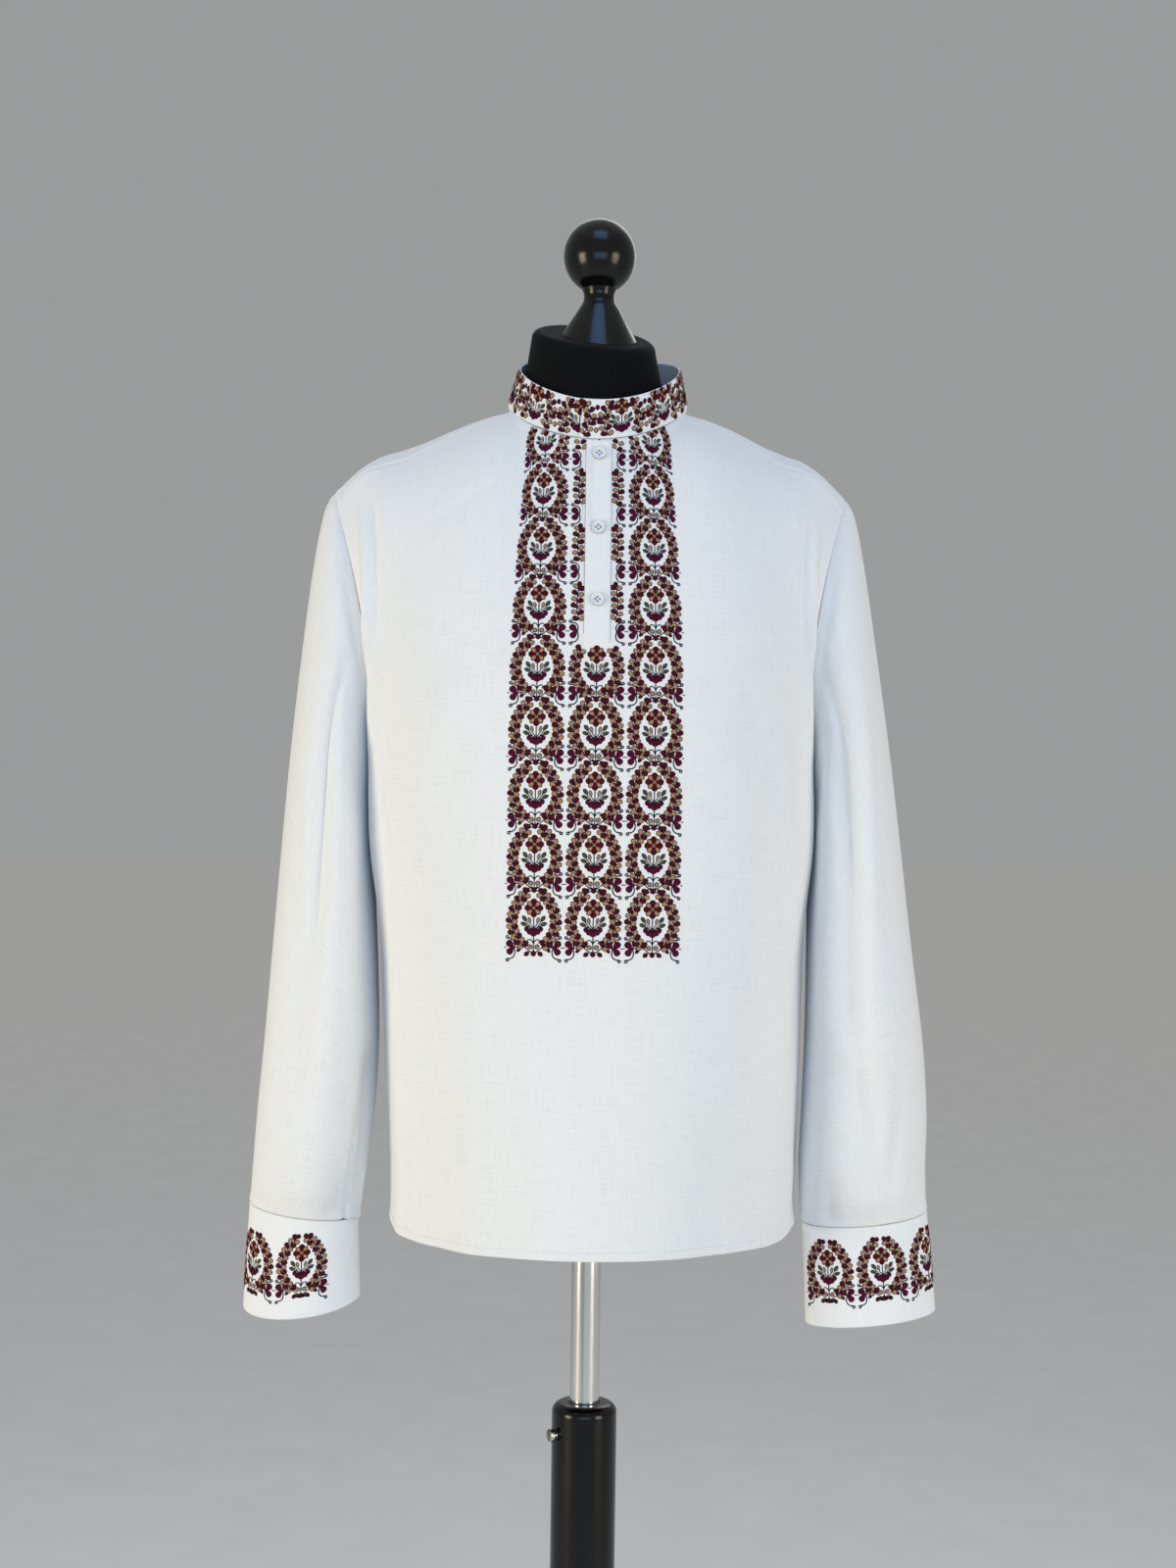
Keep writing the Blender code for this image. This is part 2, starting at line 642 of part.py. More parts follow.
def turn_distance(a, b):
    """Degrees between two angles, the short way round."""
    return (a - b + 180) % 360 - 180


def sleeve_folds(side, t, degrees):
    """The height of a sleeve's folds and of the pleats at its cuff."""
    height = 0.0
    for fold in SLEEVE_FOLDS:
        if fold.side != side or not fold.t_top < t < fold.t_bottom:
            continue
        share = (t - fold.t_top) / (fold.t_bottom - fold.t_top)
        mid = fold.angle_top + (fold.angle_bottom - fold.angle_top) * share
        off = turn_distance(degrees, mid) / fold.width
        ends = smoothstep(share / 0.25) * smoothstep((1 - share) / 0.25)
        height += fold.depth * ends * math.exp(-off * off)
    for pleat in CUFF_PLEATS:
        off = turn_distance(degrees, pleat) / PLEAT_WIDTH
        ends = smoothstep((t - PLEAT_START) / 0.07) * smoothstep((1 - t) / 0.03)
        height -= PLEAT_DEPTH * ends * math.exp(-off * off)
    return height


def sleeve_point(side, t, angle):
    """The sleeve's middle surface with its folds, on the side -1 or 1."""
    point = sleeve_ring(side, t, angle)
    step = 0.01
    across = sleeve_ring(side, t, angle + step) - sleeve_ring(side, t, angle - step)
    along = sleeve_ring(side, min(t + step, 1), angle) - sleeve_ring(side, max(t - step, 0), angle)
    normal = across.cross(along).normalized()
    middle = (sleeve_ring(side, t, 0) + sleeve_ring(side, t, math.pi)) / 2
    if normal.dot(point - Vector((middle.x, 0, point.z))) < 0:
        normal = -normal
    point += normal * sleeve_folds(side, t, math.degrees(angle))
    sway = SWAY.at(point.z)
    point.x = side * point.x + (sway.sleeve_left if side < 0 else sway.sleeve_right)
    return point


def cuff_ring(side):
    """A cuff's middle surface, its angle counted from the middle of its overlap."""
    def ring(angle, inset, share):
        row = (CUFF_LEFT if side < 0 else CUFF_RIGHT).at(share)
        cosine, sine = math.cos(CUFF_BUTTON_ANGLE + angle), math.sin(CUFF_BUTTON_ANGLE + angle)
        z = row.z + row.rise * cosine - row.dip * sine
        sway = SWAY.at(row.z)
        x = side * (row.mid_x + (row.half_x - inset) * cosine)
        x += sway.sleeve_left if side < 0 else sway.sleeve_right
        return Vector((x, -(row.half_y - inset) * sine, z))
    return ring


def sleeves_and_cuffs():
    for side, word in ((-1, "left"), (1, "right")):
        grid = []
        for t in spread(0, 1, SLEEVE_ROWS):
            angles = [2 * math.pi * k / SLEEVE_COLUMNS for k in range(SLEEVE_COLUMNS)]
            grid.append([sleeve_point(side, t, angle) for angle in angles])
        wall("sleeve_" + word, grid, CLOTH, LINEN, closed=True)
        lap = math.radians(8)
        grid = lapped_grid(cuff_ring(side), lap, BAND_ROWS, CUFF_COLUMNS)
        wall("cuff_" + word, grid, BAND_CLOTH, LINEN)


# ---------------------------------------------------------------- buttons
def button_mesh():
    """A flat button with a raised rim and four thread holes, facing +Z from its back at 0."""
    radius, height = BUTTON_RADIUS, BUTTON_THICKNESS
    profile = [(0, 0), (radius * 0.8, 0), (radius, height * 0.5), (radius * 0.9, height)]
    profile += [(radius * 0.66, height * 0.68), (0, height * 0.68)]
    blank = turned("button_blank", profile, BUTTON_WHITE, segments=14)
    bm = bmesh.new()
    for x in (-1, 1):
        for y in (-1, 1):
            made = bmesh.ops.create_cone(
                bm, cap_ends=True, segments=5, radius1=0.0008, radius2=0.0008, depth=height * 3)
            offset = Vector((x, y, 0)) * 0.00135
            bmesh.ops.translate(bm, verts=made["verts"], vec=offset)
    cutter = add_object("button_holes", bm, BUTTON_WHITE)
    cut = blank.modifiers.new("holes", "BOOLEAN")
    cut.operation = "DIFFERENCE"
    cut.object = cutter
    graph = bpy.context.evaluated_depsgraph_get()
    mesh = bpy.data.meshes.new_from_object(blank.evaluated_get(graph))
    bpy.data.objects.remove(blank)
    bpy.data.objects.remove(cutter)
    return mesh


def place_button(name, mesh, point, facing):
    made = bpy.data.objects.new(name, mesh)
    made.rotation_euler = facing.to_track_quat("Z", "Y").to_euler()
    made.location = point
    bpy.context.scene.collection.objects.link(made)


def buttons(front):
    mesh = button_mesh()
    mesh.materials.clear()
    mesh.materials.append(material("button_finish", *BUTTON_WHITE))
    on_placket = CLOTH / 2 + PLACKET_CLOTH + 2 * SEAM_GAP
    for number, z in enumerate(BUTTON_HEIGHTS, 1):
        point, normal = on_front(front, 0, row_at(front, z), on_placket)
        place_button(f"button_{number}", mesh, point, normal)
    for side, word in ((-1, "left"), (1, "right")):
        ring = cuff_ring(side)
        point = ring(0.03, 0, 0.5)
        across = ring(0.1, 0, 0.5) - ring(-0.04, 0, 0.5)
        along = ring(0.03, 0, 0.7) - ring(0.03, 0, 0.3)
        normal = across.cross(along).normalized()
        middle = Vector((side * CUFF_LEFT.at(0.5).mid_x, 0, point.z))
        if normal.dot(point - middle) < 0:
            normal = -normal
        point += normal * (BAND_CLOTH / 2 + SEAM_GAP)
        place_button("cuff_button_" + word, mesh, point, normal)


# ---------------------------------------------------------------- the dress form
def form_rows():
    """The form from the armpits up: the shirt's own surface, moved inwards."""
    halves = []
    for back in (False, True):
        grid = body_grid(back)
        normals = outward(grid_normals(grid, False), back)
        half = []
        for i in range(LOWER_ROWS, len(grid)):
            v = (i - LOWER_ROWS) / UPPER_ROWS
            line = []
            for j, s in enumerate(panel_columns()):
                inset = FORM_INSET.at(v).inset + FORM_ARM_INSET * abs(s) ** 8
                if abs(s) < NECK_SHARE + 0.001:
                    inset += FORM_NECK_INSET * smoothstep(v)
                line.append(grid[i][j] - normals[i][j] * inset)
            half.append(line)
        halves.append(half)
    return zip(*halves)


def form_section(z):
    """A row of the form below the armpits: its front half, then its back half."""
    row = FORM.at(z)
    return [[section(row, 0.0, s, back) for s in panel_columns()] for back in (False, True)]


def neck_top(x, y):
    """The height of the neck's slanted top."""
    return NECK_TOP + y * NECK_TOP_SLOPE + x * NECK_TOP_TILT


def form_torso():
    """The form's body with its neck, an armless torso closed by a flat plate at each arm."""
    bm = bmesh.new()
    rows = []
    columns = panel_columns()
    sections = [form_section(z) for z in FORM_HEIGHTS] + list(form_rows())
    for number, (front, back) in enumerate(sections):
        at_top = number == len(sections) - 1
        meets_sides = at_top or number <= len(FORM_HEIGHTS)
        line = [bm.verts.new(point) for point in front]
        for j in reversed(range(len(columns))):
            shared = abs(columns[j]) > 0.999 and meets_sides
            shared = shared or at_top and abs(columns[j]) > NECK_SHARE - 0.001
            line.append(line[j] if shared else bm.verts.new(back[j]))
        rows.append(line)
    count = len(rows[0])
    for low, high in zip(rows, rows[1:]):
        for k in range(count):
            n = (k + 1) % count
            ring = list(dict.fromkeys([low[k], low[n], high[n], high[k]]))
            if len(ring) > 2:
                bm.faces.new(ring)
    # The neck: the open ring left at the neckline, carried up to the slanted top.
    neckline = [v for v in rows[-1] if any(e.is_boundary for e in v.link_edges)]
    ring = list(dict.fromkeys(neckline))
    rows_mid_x = 0.0
    for share, radius, edge in (
        (0.00, NECK_FOOT_RADIUS, 0.0),
        (0.25, NECK_RADIUS, 0.0),
        (1.00, NECK_RADIUS, 0.0),
        (1.00, NECK_RADIUS * 0.93, NECK_TOP_EDGE),
    ):
        upper = []
        for vert in ring:
            flat = Vector((vert.co.x - rows_mid_x, vert.co.y, 0)).normalized() * radius
            flat.x += NECK_LEAN
            low = NECK_FOOT_Z + flat.y * NECK_FOOT_SLOPE
            high = neck_top(flat.x, flat.y) - NECK_TOP_EDGE
            upper.append(bm.verts.new((flat.x, flat.y, low + (high - low) * share + edge)))
        rows_mid_x = NECK_LEAN
        for k in range(len(ring)):
            n = (k + 1) % len(ring)
            bm.faces.new((ring[k], ring[n], upper[n], upper[k]))
        ring = upper
    bm.faces.new(ring)
    # The underside with the blind socket that takes the pole.
    socket = POLE_RADIUS + BORE_CLEARANCE
    foot = list(dict.fromkeys(rows[0]))
    count = len(foot)
    for z in (FORM_HEIGHTS[0], POLE_TOP + SEAM_GAP):
        upper = []
        for vert in foot:
            angle = math.atan2(vert.co.y, vert.co.x)
            upper.append(bm.verts.new((socket * math.cos(angle), socket * math.sin(angle), z)))
        for k in range(count):
            n = (k + 1) % count
            bm.faces.new((foot[n], foot[k], upper[k], upper[n]))
        foot = upper
    bm.faces.new(foot)
    return add_object("form_torso", bm, BLACK_CLOTH)


def finial():
    """A flared foot cut to the neck's slanted top, a waist and a ball."""
    flare = (FINIAL_SHOULDER_Z - NECK_TOP) / (FINIAL_FOOT_RADIUS - FINIAL_SHOULDER_RADIUS)

    def foot(angle):
        slope = math.sin(angle) * NECK_TOP_SLOPE + math.cos(angle) * NECK_TOP_TILT
        radius = min(FINIAL_FOOT_RADIUS, FINIAL_FOOT_RADIUS * flare / (flare + slope))
        return radius, NECK_TOP + radius * slope + SEAM_GAP

    profile = [(0, NECK_TOP + SEAM_GAP), (FINIAL_FOOT_RADIUS, NECK_TOP)]
    profile += [(FINIAL_SHOULDER_RADIUS, FINIAL_SHOULDER_Z), (0.0155, 1.5240), (0.0145, 1.5300)]
    profile += [(0.0148, 1.5345)] + arc(0, FINIAL_MID, FINIAL_RADIUS, -55, 75, 9, FINIAL_HALF_HEIGHT)
    profile += [(0, FINIAL_MID + FINIAL_HALF_HEIGHT)]
    turned("finial", profile, BLACK_GLOSS, foot=foot)


def stand():
    profile = [(0, POLE_BOTTOM), (POLE_RADIUS, POLE_BOTTOM), (POLE_RADIUS, POLE_TOP), (0, POLE_TOP)]
    turned("pole", profile, CHROME)
    bore = POLE_RADIUS + BORE_CLEARANCE
    foot = BASE_THICKNESS + SEAM_GAP
    profile = [(0, foot), (COLUMN_RADIUS, foot)]
    profile += arc(COLUMN_RADIUS - 0.008, COLUMN_TOP - 0.008, 0.008, 0, 90, 5)
    profile += [(bore, COLUMN_TOP), (bore, COLUMN_FLOOR), (0, COLUMN_FLOOR)]
    turned("column", profile, BLACK_GLOSS)
    profile = [(0, 0), (BASE_RADIUS - 0.003, 0), (BASE_RADIUS, 0.003)]
    profile += arc(BASE_RADIUS - 0.005, BASE_THICKNESS - 0.005, 0.005, 0, 90, 3)
    profile += [(0, BASE_THICKNESS)]
    turned("base", profile, BLACK_GLOSS, segments=40)


def clamp_screw():
    """The set screw's head, standing on the column's wall."""
    profile = [(0, 0), (0.0038, 0), (0.0038, 0.002), (0.0053, 0.0025), (0.0053, 0.0055)]
    profile += [(0.0045, 0.0065), (0, 0.0065)]
    made = turned("clamp_screw", profile, CHROME, segments=12)
    facing = Vector((-math.sin(SCREW_ANGLE), -math.cos(SCREW_ANGLE), 0))
    made.rotation_euler = facing.to_track_quat("Z", "Y").to_euler()
    made.location = facing * (COLUMN_RADIUS + SEAM_GAP) + Vector((0, 0, SCREW_Z))


def build():
    for old in list(bpy.data.objects):
        bpy.data.objects.remove(old)
    front = front_and_back()
    plackets(front)
    collar()
    sleeves_and_cuffs()
    buttons(front)
    form_torso()
    finial()
    stand()
    clamp_screw()


build()
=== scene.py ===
"""An embroidered folk shirt on its dress form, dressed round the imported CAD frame.

Lengths are metres and angles radians unless a name says otherwise. Left is towards -X and the
front faces -Y. The cloth's surfaces come from the same tables of sections as the CAD solids.
"""
import math
from collections import namedtuple

import bmesh
import bpy
import numpy as np
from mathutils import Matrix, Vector


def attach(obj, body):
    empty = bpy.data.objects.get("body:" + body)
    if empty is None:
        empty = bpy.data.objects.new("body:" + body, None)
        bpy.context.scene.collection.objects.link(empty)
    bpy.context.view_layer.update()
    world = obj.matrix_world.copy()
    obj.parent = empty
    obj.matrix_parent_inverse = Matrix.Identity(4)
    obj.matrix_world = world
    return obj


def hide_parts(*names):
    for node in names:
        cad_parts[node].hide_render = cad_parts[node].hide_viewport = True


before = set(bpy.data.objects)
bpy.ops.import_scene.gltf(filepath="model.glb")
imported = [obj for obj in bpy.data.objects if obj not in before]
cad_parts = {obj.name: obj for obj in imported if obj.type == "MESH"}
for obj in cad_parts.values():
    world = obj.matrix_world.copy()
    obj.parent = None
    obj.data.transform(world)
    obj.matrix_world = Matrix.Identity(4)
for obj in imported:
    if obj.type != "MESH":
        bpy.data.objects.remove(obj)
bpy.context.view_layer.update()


def linked(name, data):
    """A new object in the scene."""
    made = bpy.data.objects.new(name, data)
    bpy.context.scene.collection.objects.link(made)
    return made


# ---------------------------------------------------------------- the camera
PHOTO_HEIGHT_PX, FOCAL_PX = 1600, 2222
SENSOR = 36.0
camera_data = bpy.data.cameras.new("camera")
camera_data.sensor_fit = "VERTICAL"
camera_data.sensor_height = SENSOR
camera_data.lens = FOCAL_PX / PHOTO_HEIGHT_PX * SENSOR
camera = linked("camera", camera_data)
camera.location = (-0.0038, -1.79, 1.13)
camera.rotation_euler = (math.radians(90), math.radians(-0.77), 0)
bpy.context.scene.camera = camera

# ---------------------------------------------------------------- driving sizes
SIDES = ((-1, "left"), (1, "right"))
CLOTH = 0.0015
SHOWN_CLOTH = 0.0009      # the thickness that the cloth's edges show
BAND_CLOTH = 0.0020
SEAM_GAP = 0.0003
ARMPIT_Z = 1.150
HALF_GIRTH = 0.25
HEM_SIDE_RISE = 0.008
NECK_SHARE = 1 / 3
SEAM_ANGLE = math.radians(72)
ARM_SEAM_ANGLE = math.radians(32)

COLLAR_LAP = math.radians(11.4)
CUFF_LAP = math.radians(8)
LAP_DROP = 0.0026
LAP_EASE_START, LAP_EASE = 0.75, 0.62     # radians before a lap in which its end dips under
COLLAR_TOP_MID_X = 0.0015
COLLAR_TOP_HALF_WIDTH, COLLAR_TOP_HALF_DEPTH = 0.0650, 0.0625
COLLAR_TOP_Z, COLLAR_TOP_DIP = 1.4700, 0.0090

PLACKET_HALF_WIDTH = 0.0100
PLACKET_BOTTOM, PLACKET_TOP = 1.2380, 1.4000
SLIT_BOTTOM, SLIT_GAP = 1.2500, 0.0006
BUTTON_RADIUS = 0.0057
BUTTON_THICKNESS = 0.0022
BUTTON_HEIGHTS = (1.3885, 1.3280, 1.2710)
CUFF_BUTTON_ANGLE = math.radians(215)

NECK_RADIUS = 0.0510
NECK_LEAN = -0.0040
NECK_FOOT_RADIUS = 0.0545
NECK_FOOT_Z, NECK_FOOT_SLOPE = 1.452, 0.35
NECK_TOP = 1.4975
NECK_TOP_SLOPE = math.tan(math.radians(21))
NECK_TOP_TILT = -0.11
FINIAL_RADIUS, FINIAL_HALF_HEIGHT, FINIAL_MID = 0.0286, 0.0305, 1.5635
FINIAL_FOOT_RADIUS, FINIAL_SHOULDER_RADIUS, FINIAL_SHOULDER_Z = 0.031, 0.0197, 1.517
POLE_RADIUS = 0.0121
POLE_BOTTOM, POLE_TOP, POLE_BEVEL = 0.300, 0.980, 0.001
COLUMN_RADIUS = 0.0266
COLUMN_TOP = 0.6225
COLUMN_FLOOR = 0.060
COLUMN_ROUND, BORE_ROUND = 0.008, 0.0012
BORE_CLEARANCE = 0.0005
BASE_RADIUS = 0.178
BASE_THICKNESS, BASE_ROUND = 0.014, 0.005
SCREW_Z = 0.599
SCREW_ANGLE = math.radians(59)

NECK_HALF_WIDTH, NECK_HALF_DEPTH, NECK_MID_Y = 0.0725, 0.0700, -0.0060
NECK_SIDE_Z, NECK_SLOPE, NECK_DIP = 1.4395, 0.02665, 0.01115
ARMHOLE_TOP = np.array((0.2095, 0.0, 1.365))
ARMHOLE_BOTTOM = np.array((0.1765, 0.0, ARMPIT_Z))
ARMHOLE_DEPTH, ARMHOLE_BOW = 0.056, 0.0105
NECK_COLUMNS, SIDE_COLUMNS = 5, 8
LOWER_ROWS, UPPER_ROWS = 10, 11
EASE_PASSES, EASE_PULLS = 10, (0.50, -0.52)
FORM_ARM_INSET, FORM_NECK_INSET = 0.004, 0.006
FORM_HEIGHTS = (0.832, 0.838, 0.856, 0.940, 1.040, 1.110)


class Table:
    """Rows of named columns. Between rows, values follow a smooth curve through them."""

    def __init__(self, columns, *rows):
        self.row_type = namedtuple("Row", columns)
        self.rows = np.array(rows, float)
        keys = self.rows[:, :1]
        last = len(rows) - 1
        low = np.maximum(np.arange(last + 1) - 1, 0)
        high = np.minimum(np.arange(last + 1) + 1, last)
        self.slopes = (self.rows[high] - self.rows[low]) / (keys[high] - keys[low])

    def at(self, key):
        keys = self.rows[:, 0]
        key = np.clip(np.asarray(key, float), keys[0], keys[-1])
        i = np.clip(np.searchsorted(keys, key, side="left") - 1, 0, len(keys) - 2)
        span = (keys[i + 1] - keys[i])[..., None]
        share = (key[..., None] - keys[i][..., None]) / span
        h01 = share * share * (3 - 2 * share)
        h10 = share * (1 - share) ** 2
        h11 = share * share * (share - 1)
        found = self.rows[i] * (1 - h01) + self.rows[i + 1] * h01
        found = found + self.slopes[i] * span * h10 + self.slopes[i + 1] * span * h11
        return self.row_type(*np.moveaxis(found, -1, 0))


def named_rows(columns, *rows):
    row_type = namedtuple("Row", columns)
    return [row_type(*row) for row in rows]


# Sections of the shirt's body below the armpits.
BODY = Table(
    "z half_width front_y back_y seam_y power",
    (0.766, 0.1620, -0.1310, 0.124, 0.020, 2.04),
    (0.810, 0.1625, -0.1318, 0.126, 0.020, 2.10),
    (0.890, 0.1665, -0.1330, 0.126, 0.018, 2.25),
    (1.000, 0.1715, -0.1350, 0.122, 0.012, 2.35),
    (1.090, 0.1762, -0.1366, 0.117, 0.004, 2.45),
    (1.150, 0.1765, -0.1370, 0.115, 0.000, 2.50),
)
# How far the shoulder seam arches above a straight line, from neck to sleeve.
SHOULDER_ARCH = Table(
    "share rise",
    (0.00, 0.0000),
    (0.15, 0.0048),
    (0.35, 0.0078),
    (0.60, 0.0094),
    (0.82, 0.0175),
    (0.94, 0.0135),
    (1.00, 0.0000),
)
# Direction of the cloth where a panel ends at the neckline or shoulder seam.
FRONT_EDGE = Table(
    "s x y z",
    (0.00, 0.00, 0.36, 0.93),
    (0.18, -0.02, 0.48, 0.86),
    (0.34, -0.10, 0.84, 0.48),
    (0.60, -0.09, 0.82, 0.57),
    (1.00, 0.00, 0.82, 0.57),
)
BACK_EDGE = Table(
    "s x y z",
    (0.00, 0.00, -0.42, 0.90),
    (0.14, 0.05, -0.56, 0.82),
    (0.20, 0.05, -0.74, 0.64),
    (0.27, 0.00, -0.96, 0.12),
    (0.34, -0.15, -0.94, -0.30),
    (0.60, -0.07, -0.82, -0.57),
    (1.00, 0.00, -0.82, -0.57),
)
# Sleeve rings: the outer and inner points of each, its half depth, inward bow and dip at the front.
SLEEVE = Table(
    "t outer_x outer_z inner_left inner_right inner_z depth bow dip",
    (0.00, 0.2095, 1.3650, 0.1765, 0.1765, 1.1500, 0.056, 0.0105, 0.0000),
    (0.05, 0.2170, 1.3510, 0.1795, 0.1795, 1.1340, 0.061, 0.0060, 0.0000),
    (0.12, 0.2250, 1.3120, 0.1812, 0.1812, 1.1120, 0.066, 0.0020, 0.0000),
    (0.22, 0.2342, 1.2500, 0.1815, 0.1812, 1.0800, 0.070, 0.0000, 0.0000),
    (0.35, 0.2447, 1.1650, 0.1805, 0.1796, 1.0350, 0.072, 0.0000, 0.0000),
    (0.50, 0.2550, 1.0700, 0.1788, 0.1776, 0.9800, 0.070, 0.0000, 0.0000),
    (0.65, 0.2652, 0.9650, 0.1778, 0.1740, 0.9150, 0.065, 0.0000, 0.0002),
    (0.80, 0.2727, 0.8750, 0.1800, 0.1728, 0.8550, 0.057, 0.0000, 0.0012),
    (0.92, 0.2762, 0.8130, 0.1865, 0.1745, 0.8020, 0.045, 0.0000, 0.0030),
    (1.00, 0.2780, 0.7852, 0.1895, 0.1766, 0.7750, 0.030, 0.0000, 0.0040),
)
# Cuff rings from the top down: middle, half sizes, height, and how much higher a ring lies
# at its outside and lower at its front.
CUFF_LEFT = Table(
    "share mid_x half_x half_y z rise dip",
    (0.00, 0.2338, 0.0442, 0.0300, 0.7792, 0.0051, 0.0040),
    (0.50, 0.2344, 0.0458, 0.0308, 0.7418, -0.0001, 0.0068),
    (1.00, 0.2348, 0.0475, 0.0315, 0.7045, -0.0053, 0.0096),
)
CUFF_RIGHT = Table(
    "share mid_x half_x half_y z rise dip",
    (0.00, 0.2272, 0.0508, 0.0300, 0.7792, 0.0051, 0.0040),
    (0.50, 0.2306, 0.0518, 0.0308, 0.7381, 0.0054, 0.0029),
    (1.00, 0.2334, 0.0528, 0.0315, 0.6970, 0.0058, 0.0018),
)
# The shirt hangs a little uneven: how far its sleeves and its sides lie off towards +X.
SWAY = Table(
    "z sleeve_left sleeve_right side_left side_right",
    (0.690, 0.0020, 0.0000, 0.0000, 0.0085),
    (0.770, 0.0020, 0.0000, 0.0000, 0.0085),
    (0.820, 0.0024, 0.0005, 0.0000, 0.0080),
    (0.860, 0.0032, 0.0030, 0.0000, 0.0070),
    (0.920, 0.0040, 0.0035, 0.0000, 0.0050),
    (1.000, 0.0030, 0.0000, 0.0000, 0.0022),
    (1.100, 0.0008, -0.0024, 0.0003, -0.0015),
    (1.150, -0.0005, -0.0034, -0.0005, -0.0034),
    (1.250, -0.0024, -0.0058, -0.0024, -0.0058),
    (1.340, -0.0045, -0.0060, -0.0045, -0.0060),
    (1.400, -0.0042, -0.0050, -0.0042, -0.0050),
    (1.435, 0.0000, 0.0000, 0.0000, 0.0000),
)

BODY_FOLD = "panel s_top z_top s_bottom z_bottom width depth"
SLEEVE_FOLD = "side angle_top t_top angle_bottom t_bottom width depth"
# Main folds of the body: lines across a panel, ridges positive and troughs negative.
BODY_FOLDS = named_rows(
    BODY_FOLD,
    ("front", -0.90, 1.360, -0.84, 0.980, 0.017, 0.0070),
    ("front", 0.90, 1.360, 0.84, 0.980, 0.017, 0.0065),
    ("front", -0.40, 1.225, -0.62, 1.090, 0.020, 0.0030),
    ("front", 0.46, 1.230, 0.72, 0.980, 0.018, -0.0030),
    ("front", -0.37, 1.020, -0.36, 0.700, 0.018, 0.0028),
    ("front", 0.66, 0.960, 0.62, 0.700, 0.024, 0.0030),
    ("back", -0.80, 1.320, -0.76, 0.560, 0.026, 0.0095),
    ("back", -0.50, 1.240, -0.45, 0.560, 0.024, 0.0125),
    ("back", -0.20, 1.290, -0.15, 0.560, 0.024, 0.0100),
    ("back", 0.10, 1.200, 0.17, 0.560, 0.024, 0.0120),
    ("back", 0.42, 1.270, 0.47, 0.560, 0.024, 0.0110),
    ("back", 0.79, 1.320, 0.75, 0.560, 0.026, 0.0090),
)
# Main folds of the sleeves, by degrees round the arm: 0 outside, 90 front, 180 inside.
SLEEVE_FOLDS = named_rows(
    SLEEVE_FOLD,
    (-1, 92, 0.10, 62, 0.86, 17, -0.0060),
    (-1, 128, 0.14, 104, 0.80, 18, 0.0035),
    (-1, 158, 0.62, 150, 0.98, 13, -0.0045),
    (-1, -70, 0.20, -58, 0.98, 20, -0.0060),
    (-1, -125, 0.12, -118, 0.80, 20, -0.0050),
    (1, 104, 0.08, 112, 0.72, 15, -0.0060),
    (1, 134, 0.10, 142, 0.70, 16, 0.0035),
    (1, 122, 0.66, 74, 0.97, 14, -0.0045),
    (1, -62, 0.16, -74, 0.98, 20, -0.0060),
    (1, -120, 0.20, -128, 0.86, 20, -0.0050),
)
# Pleats that take the sleeve into its cuff, by degrees round the arm.
CUFF_PLEATS = (-150, -118, -86, 126)
PLEAT_START, PLEAT_RISE, PLEAT_FALL = 0.86, 0.07, 0.03
PLEAT_WIDTH, PLEAT_DEPTH = 9, 0.0038

# The form's sections below the armpits, bottom first.
FORM = Table(
    "z half_width front_y back_y power",
    (0.832, 0.1080, -0.0820, 0.088, 2.2),
    (0.838, 0.1240, -0.0960, 0.100, 2.2),
    (0.856, 0.1340, -0.1050, 0.106, 2.2),
    (0.940, 0.1400, -0.1100, 0.106, 2.2),
    (1.040, 0.1420, -0.1120, 0.100, 2.2),
    (1.110, 0.1540, -0.1230, 0.101, 2.2),
    (1.150, 0.1600, -0.1270, 0.102, 2.2),
)
# How far the form lies inside the cloth's middle surface, from the armpits up.
FORM_INSET = Table(
    "v inset",
    (0.00, 0.0110),
    (0.40, 0.0070),
    (0.80, 0.0028),
    (1.00, 0.0016),
)
# Finer creases that only the cloth shown here has, in the same columns.
FINE_BODY_FOLDS = named_rows(
    BODY_FOLD,
    ("front", 0.93, 0.860, 0.86, 0.764, 0.005, -0.0016),
    ("front", 0.84, 0.845, 0.90, 0.760, 0.005, 0.0012),
    ("front", -0.90, 1.230, -0.70, 1.130, 0.007, -0.0018),
    ("front", -0.82, 1.160, -0.64, 1.080, 0.009, 0.0013),
    ("front", -0.27, 1.372, -0.66, 1.325, 0.012, -0.0008),
    ("front", -0.925, 1.362, -0.90, 1.205, 0.006, 0.0048),
    ("front", -0.870, 1.372, -0.84, 1.225, 0.006, -0.0036),
    ("front", 0.925, 1.356, 0.89, 1.215, 0.006, 0.0038),
    ("front", 0.875, 1.362, 0.83, 1.205, 0.006, -0.0030),
    ("front", 0.62, 1.200, 0.70, 1.020, 0.010, 0.0016),
    ("front", -0.73, 0.930, -0.77, 0.730, 0.009, 0.0015),
    ("front", -0.52, 1.010, -0.50, 0.700, 0.012, -0.0014),
    ("front", 0.40, 0.900, 0.38, 0.700, 0.012, -0.0012),
    ("front", -0.08, 0.960, 0.02, 0.760, 0.016, 0.0010),
    ("front", 0.84, 1.080, 0.80, 0.860, 0.008, -0.0016),
    ("back", -0.92, 1.220, -0.76, 1.120, 0.008, -0.0018),
    ("back", 0.92, 1.230, 0.74, 1.110, 0.008, -0.0018),
    ("back", -0.30, 1.360, -0.62, 1.300, 0.012, -0.0018),
    ("back", 0.28, 1.360, 0.64, 1.310, 0.012, -0.0018),
    ("back", -0.66, 0.980, -0.64, 0.720, 0.010, -0.0016),
    ("back", 0.60, 0.920, 0.62, 0.700, 0.010, -0.0016),
    ("back", 0.02, 0.990, -0.04, 0.720, 0.010, -0.0014),
)
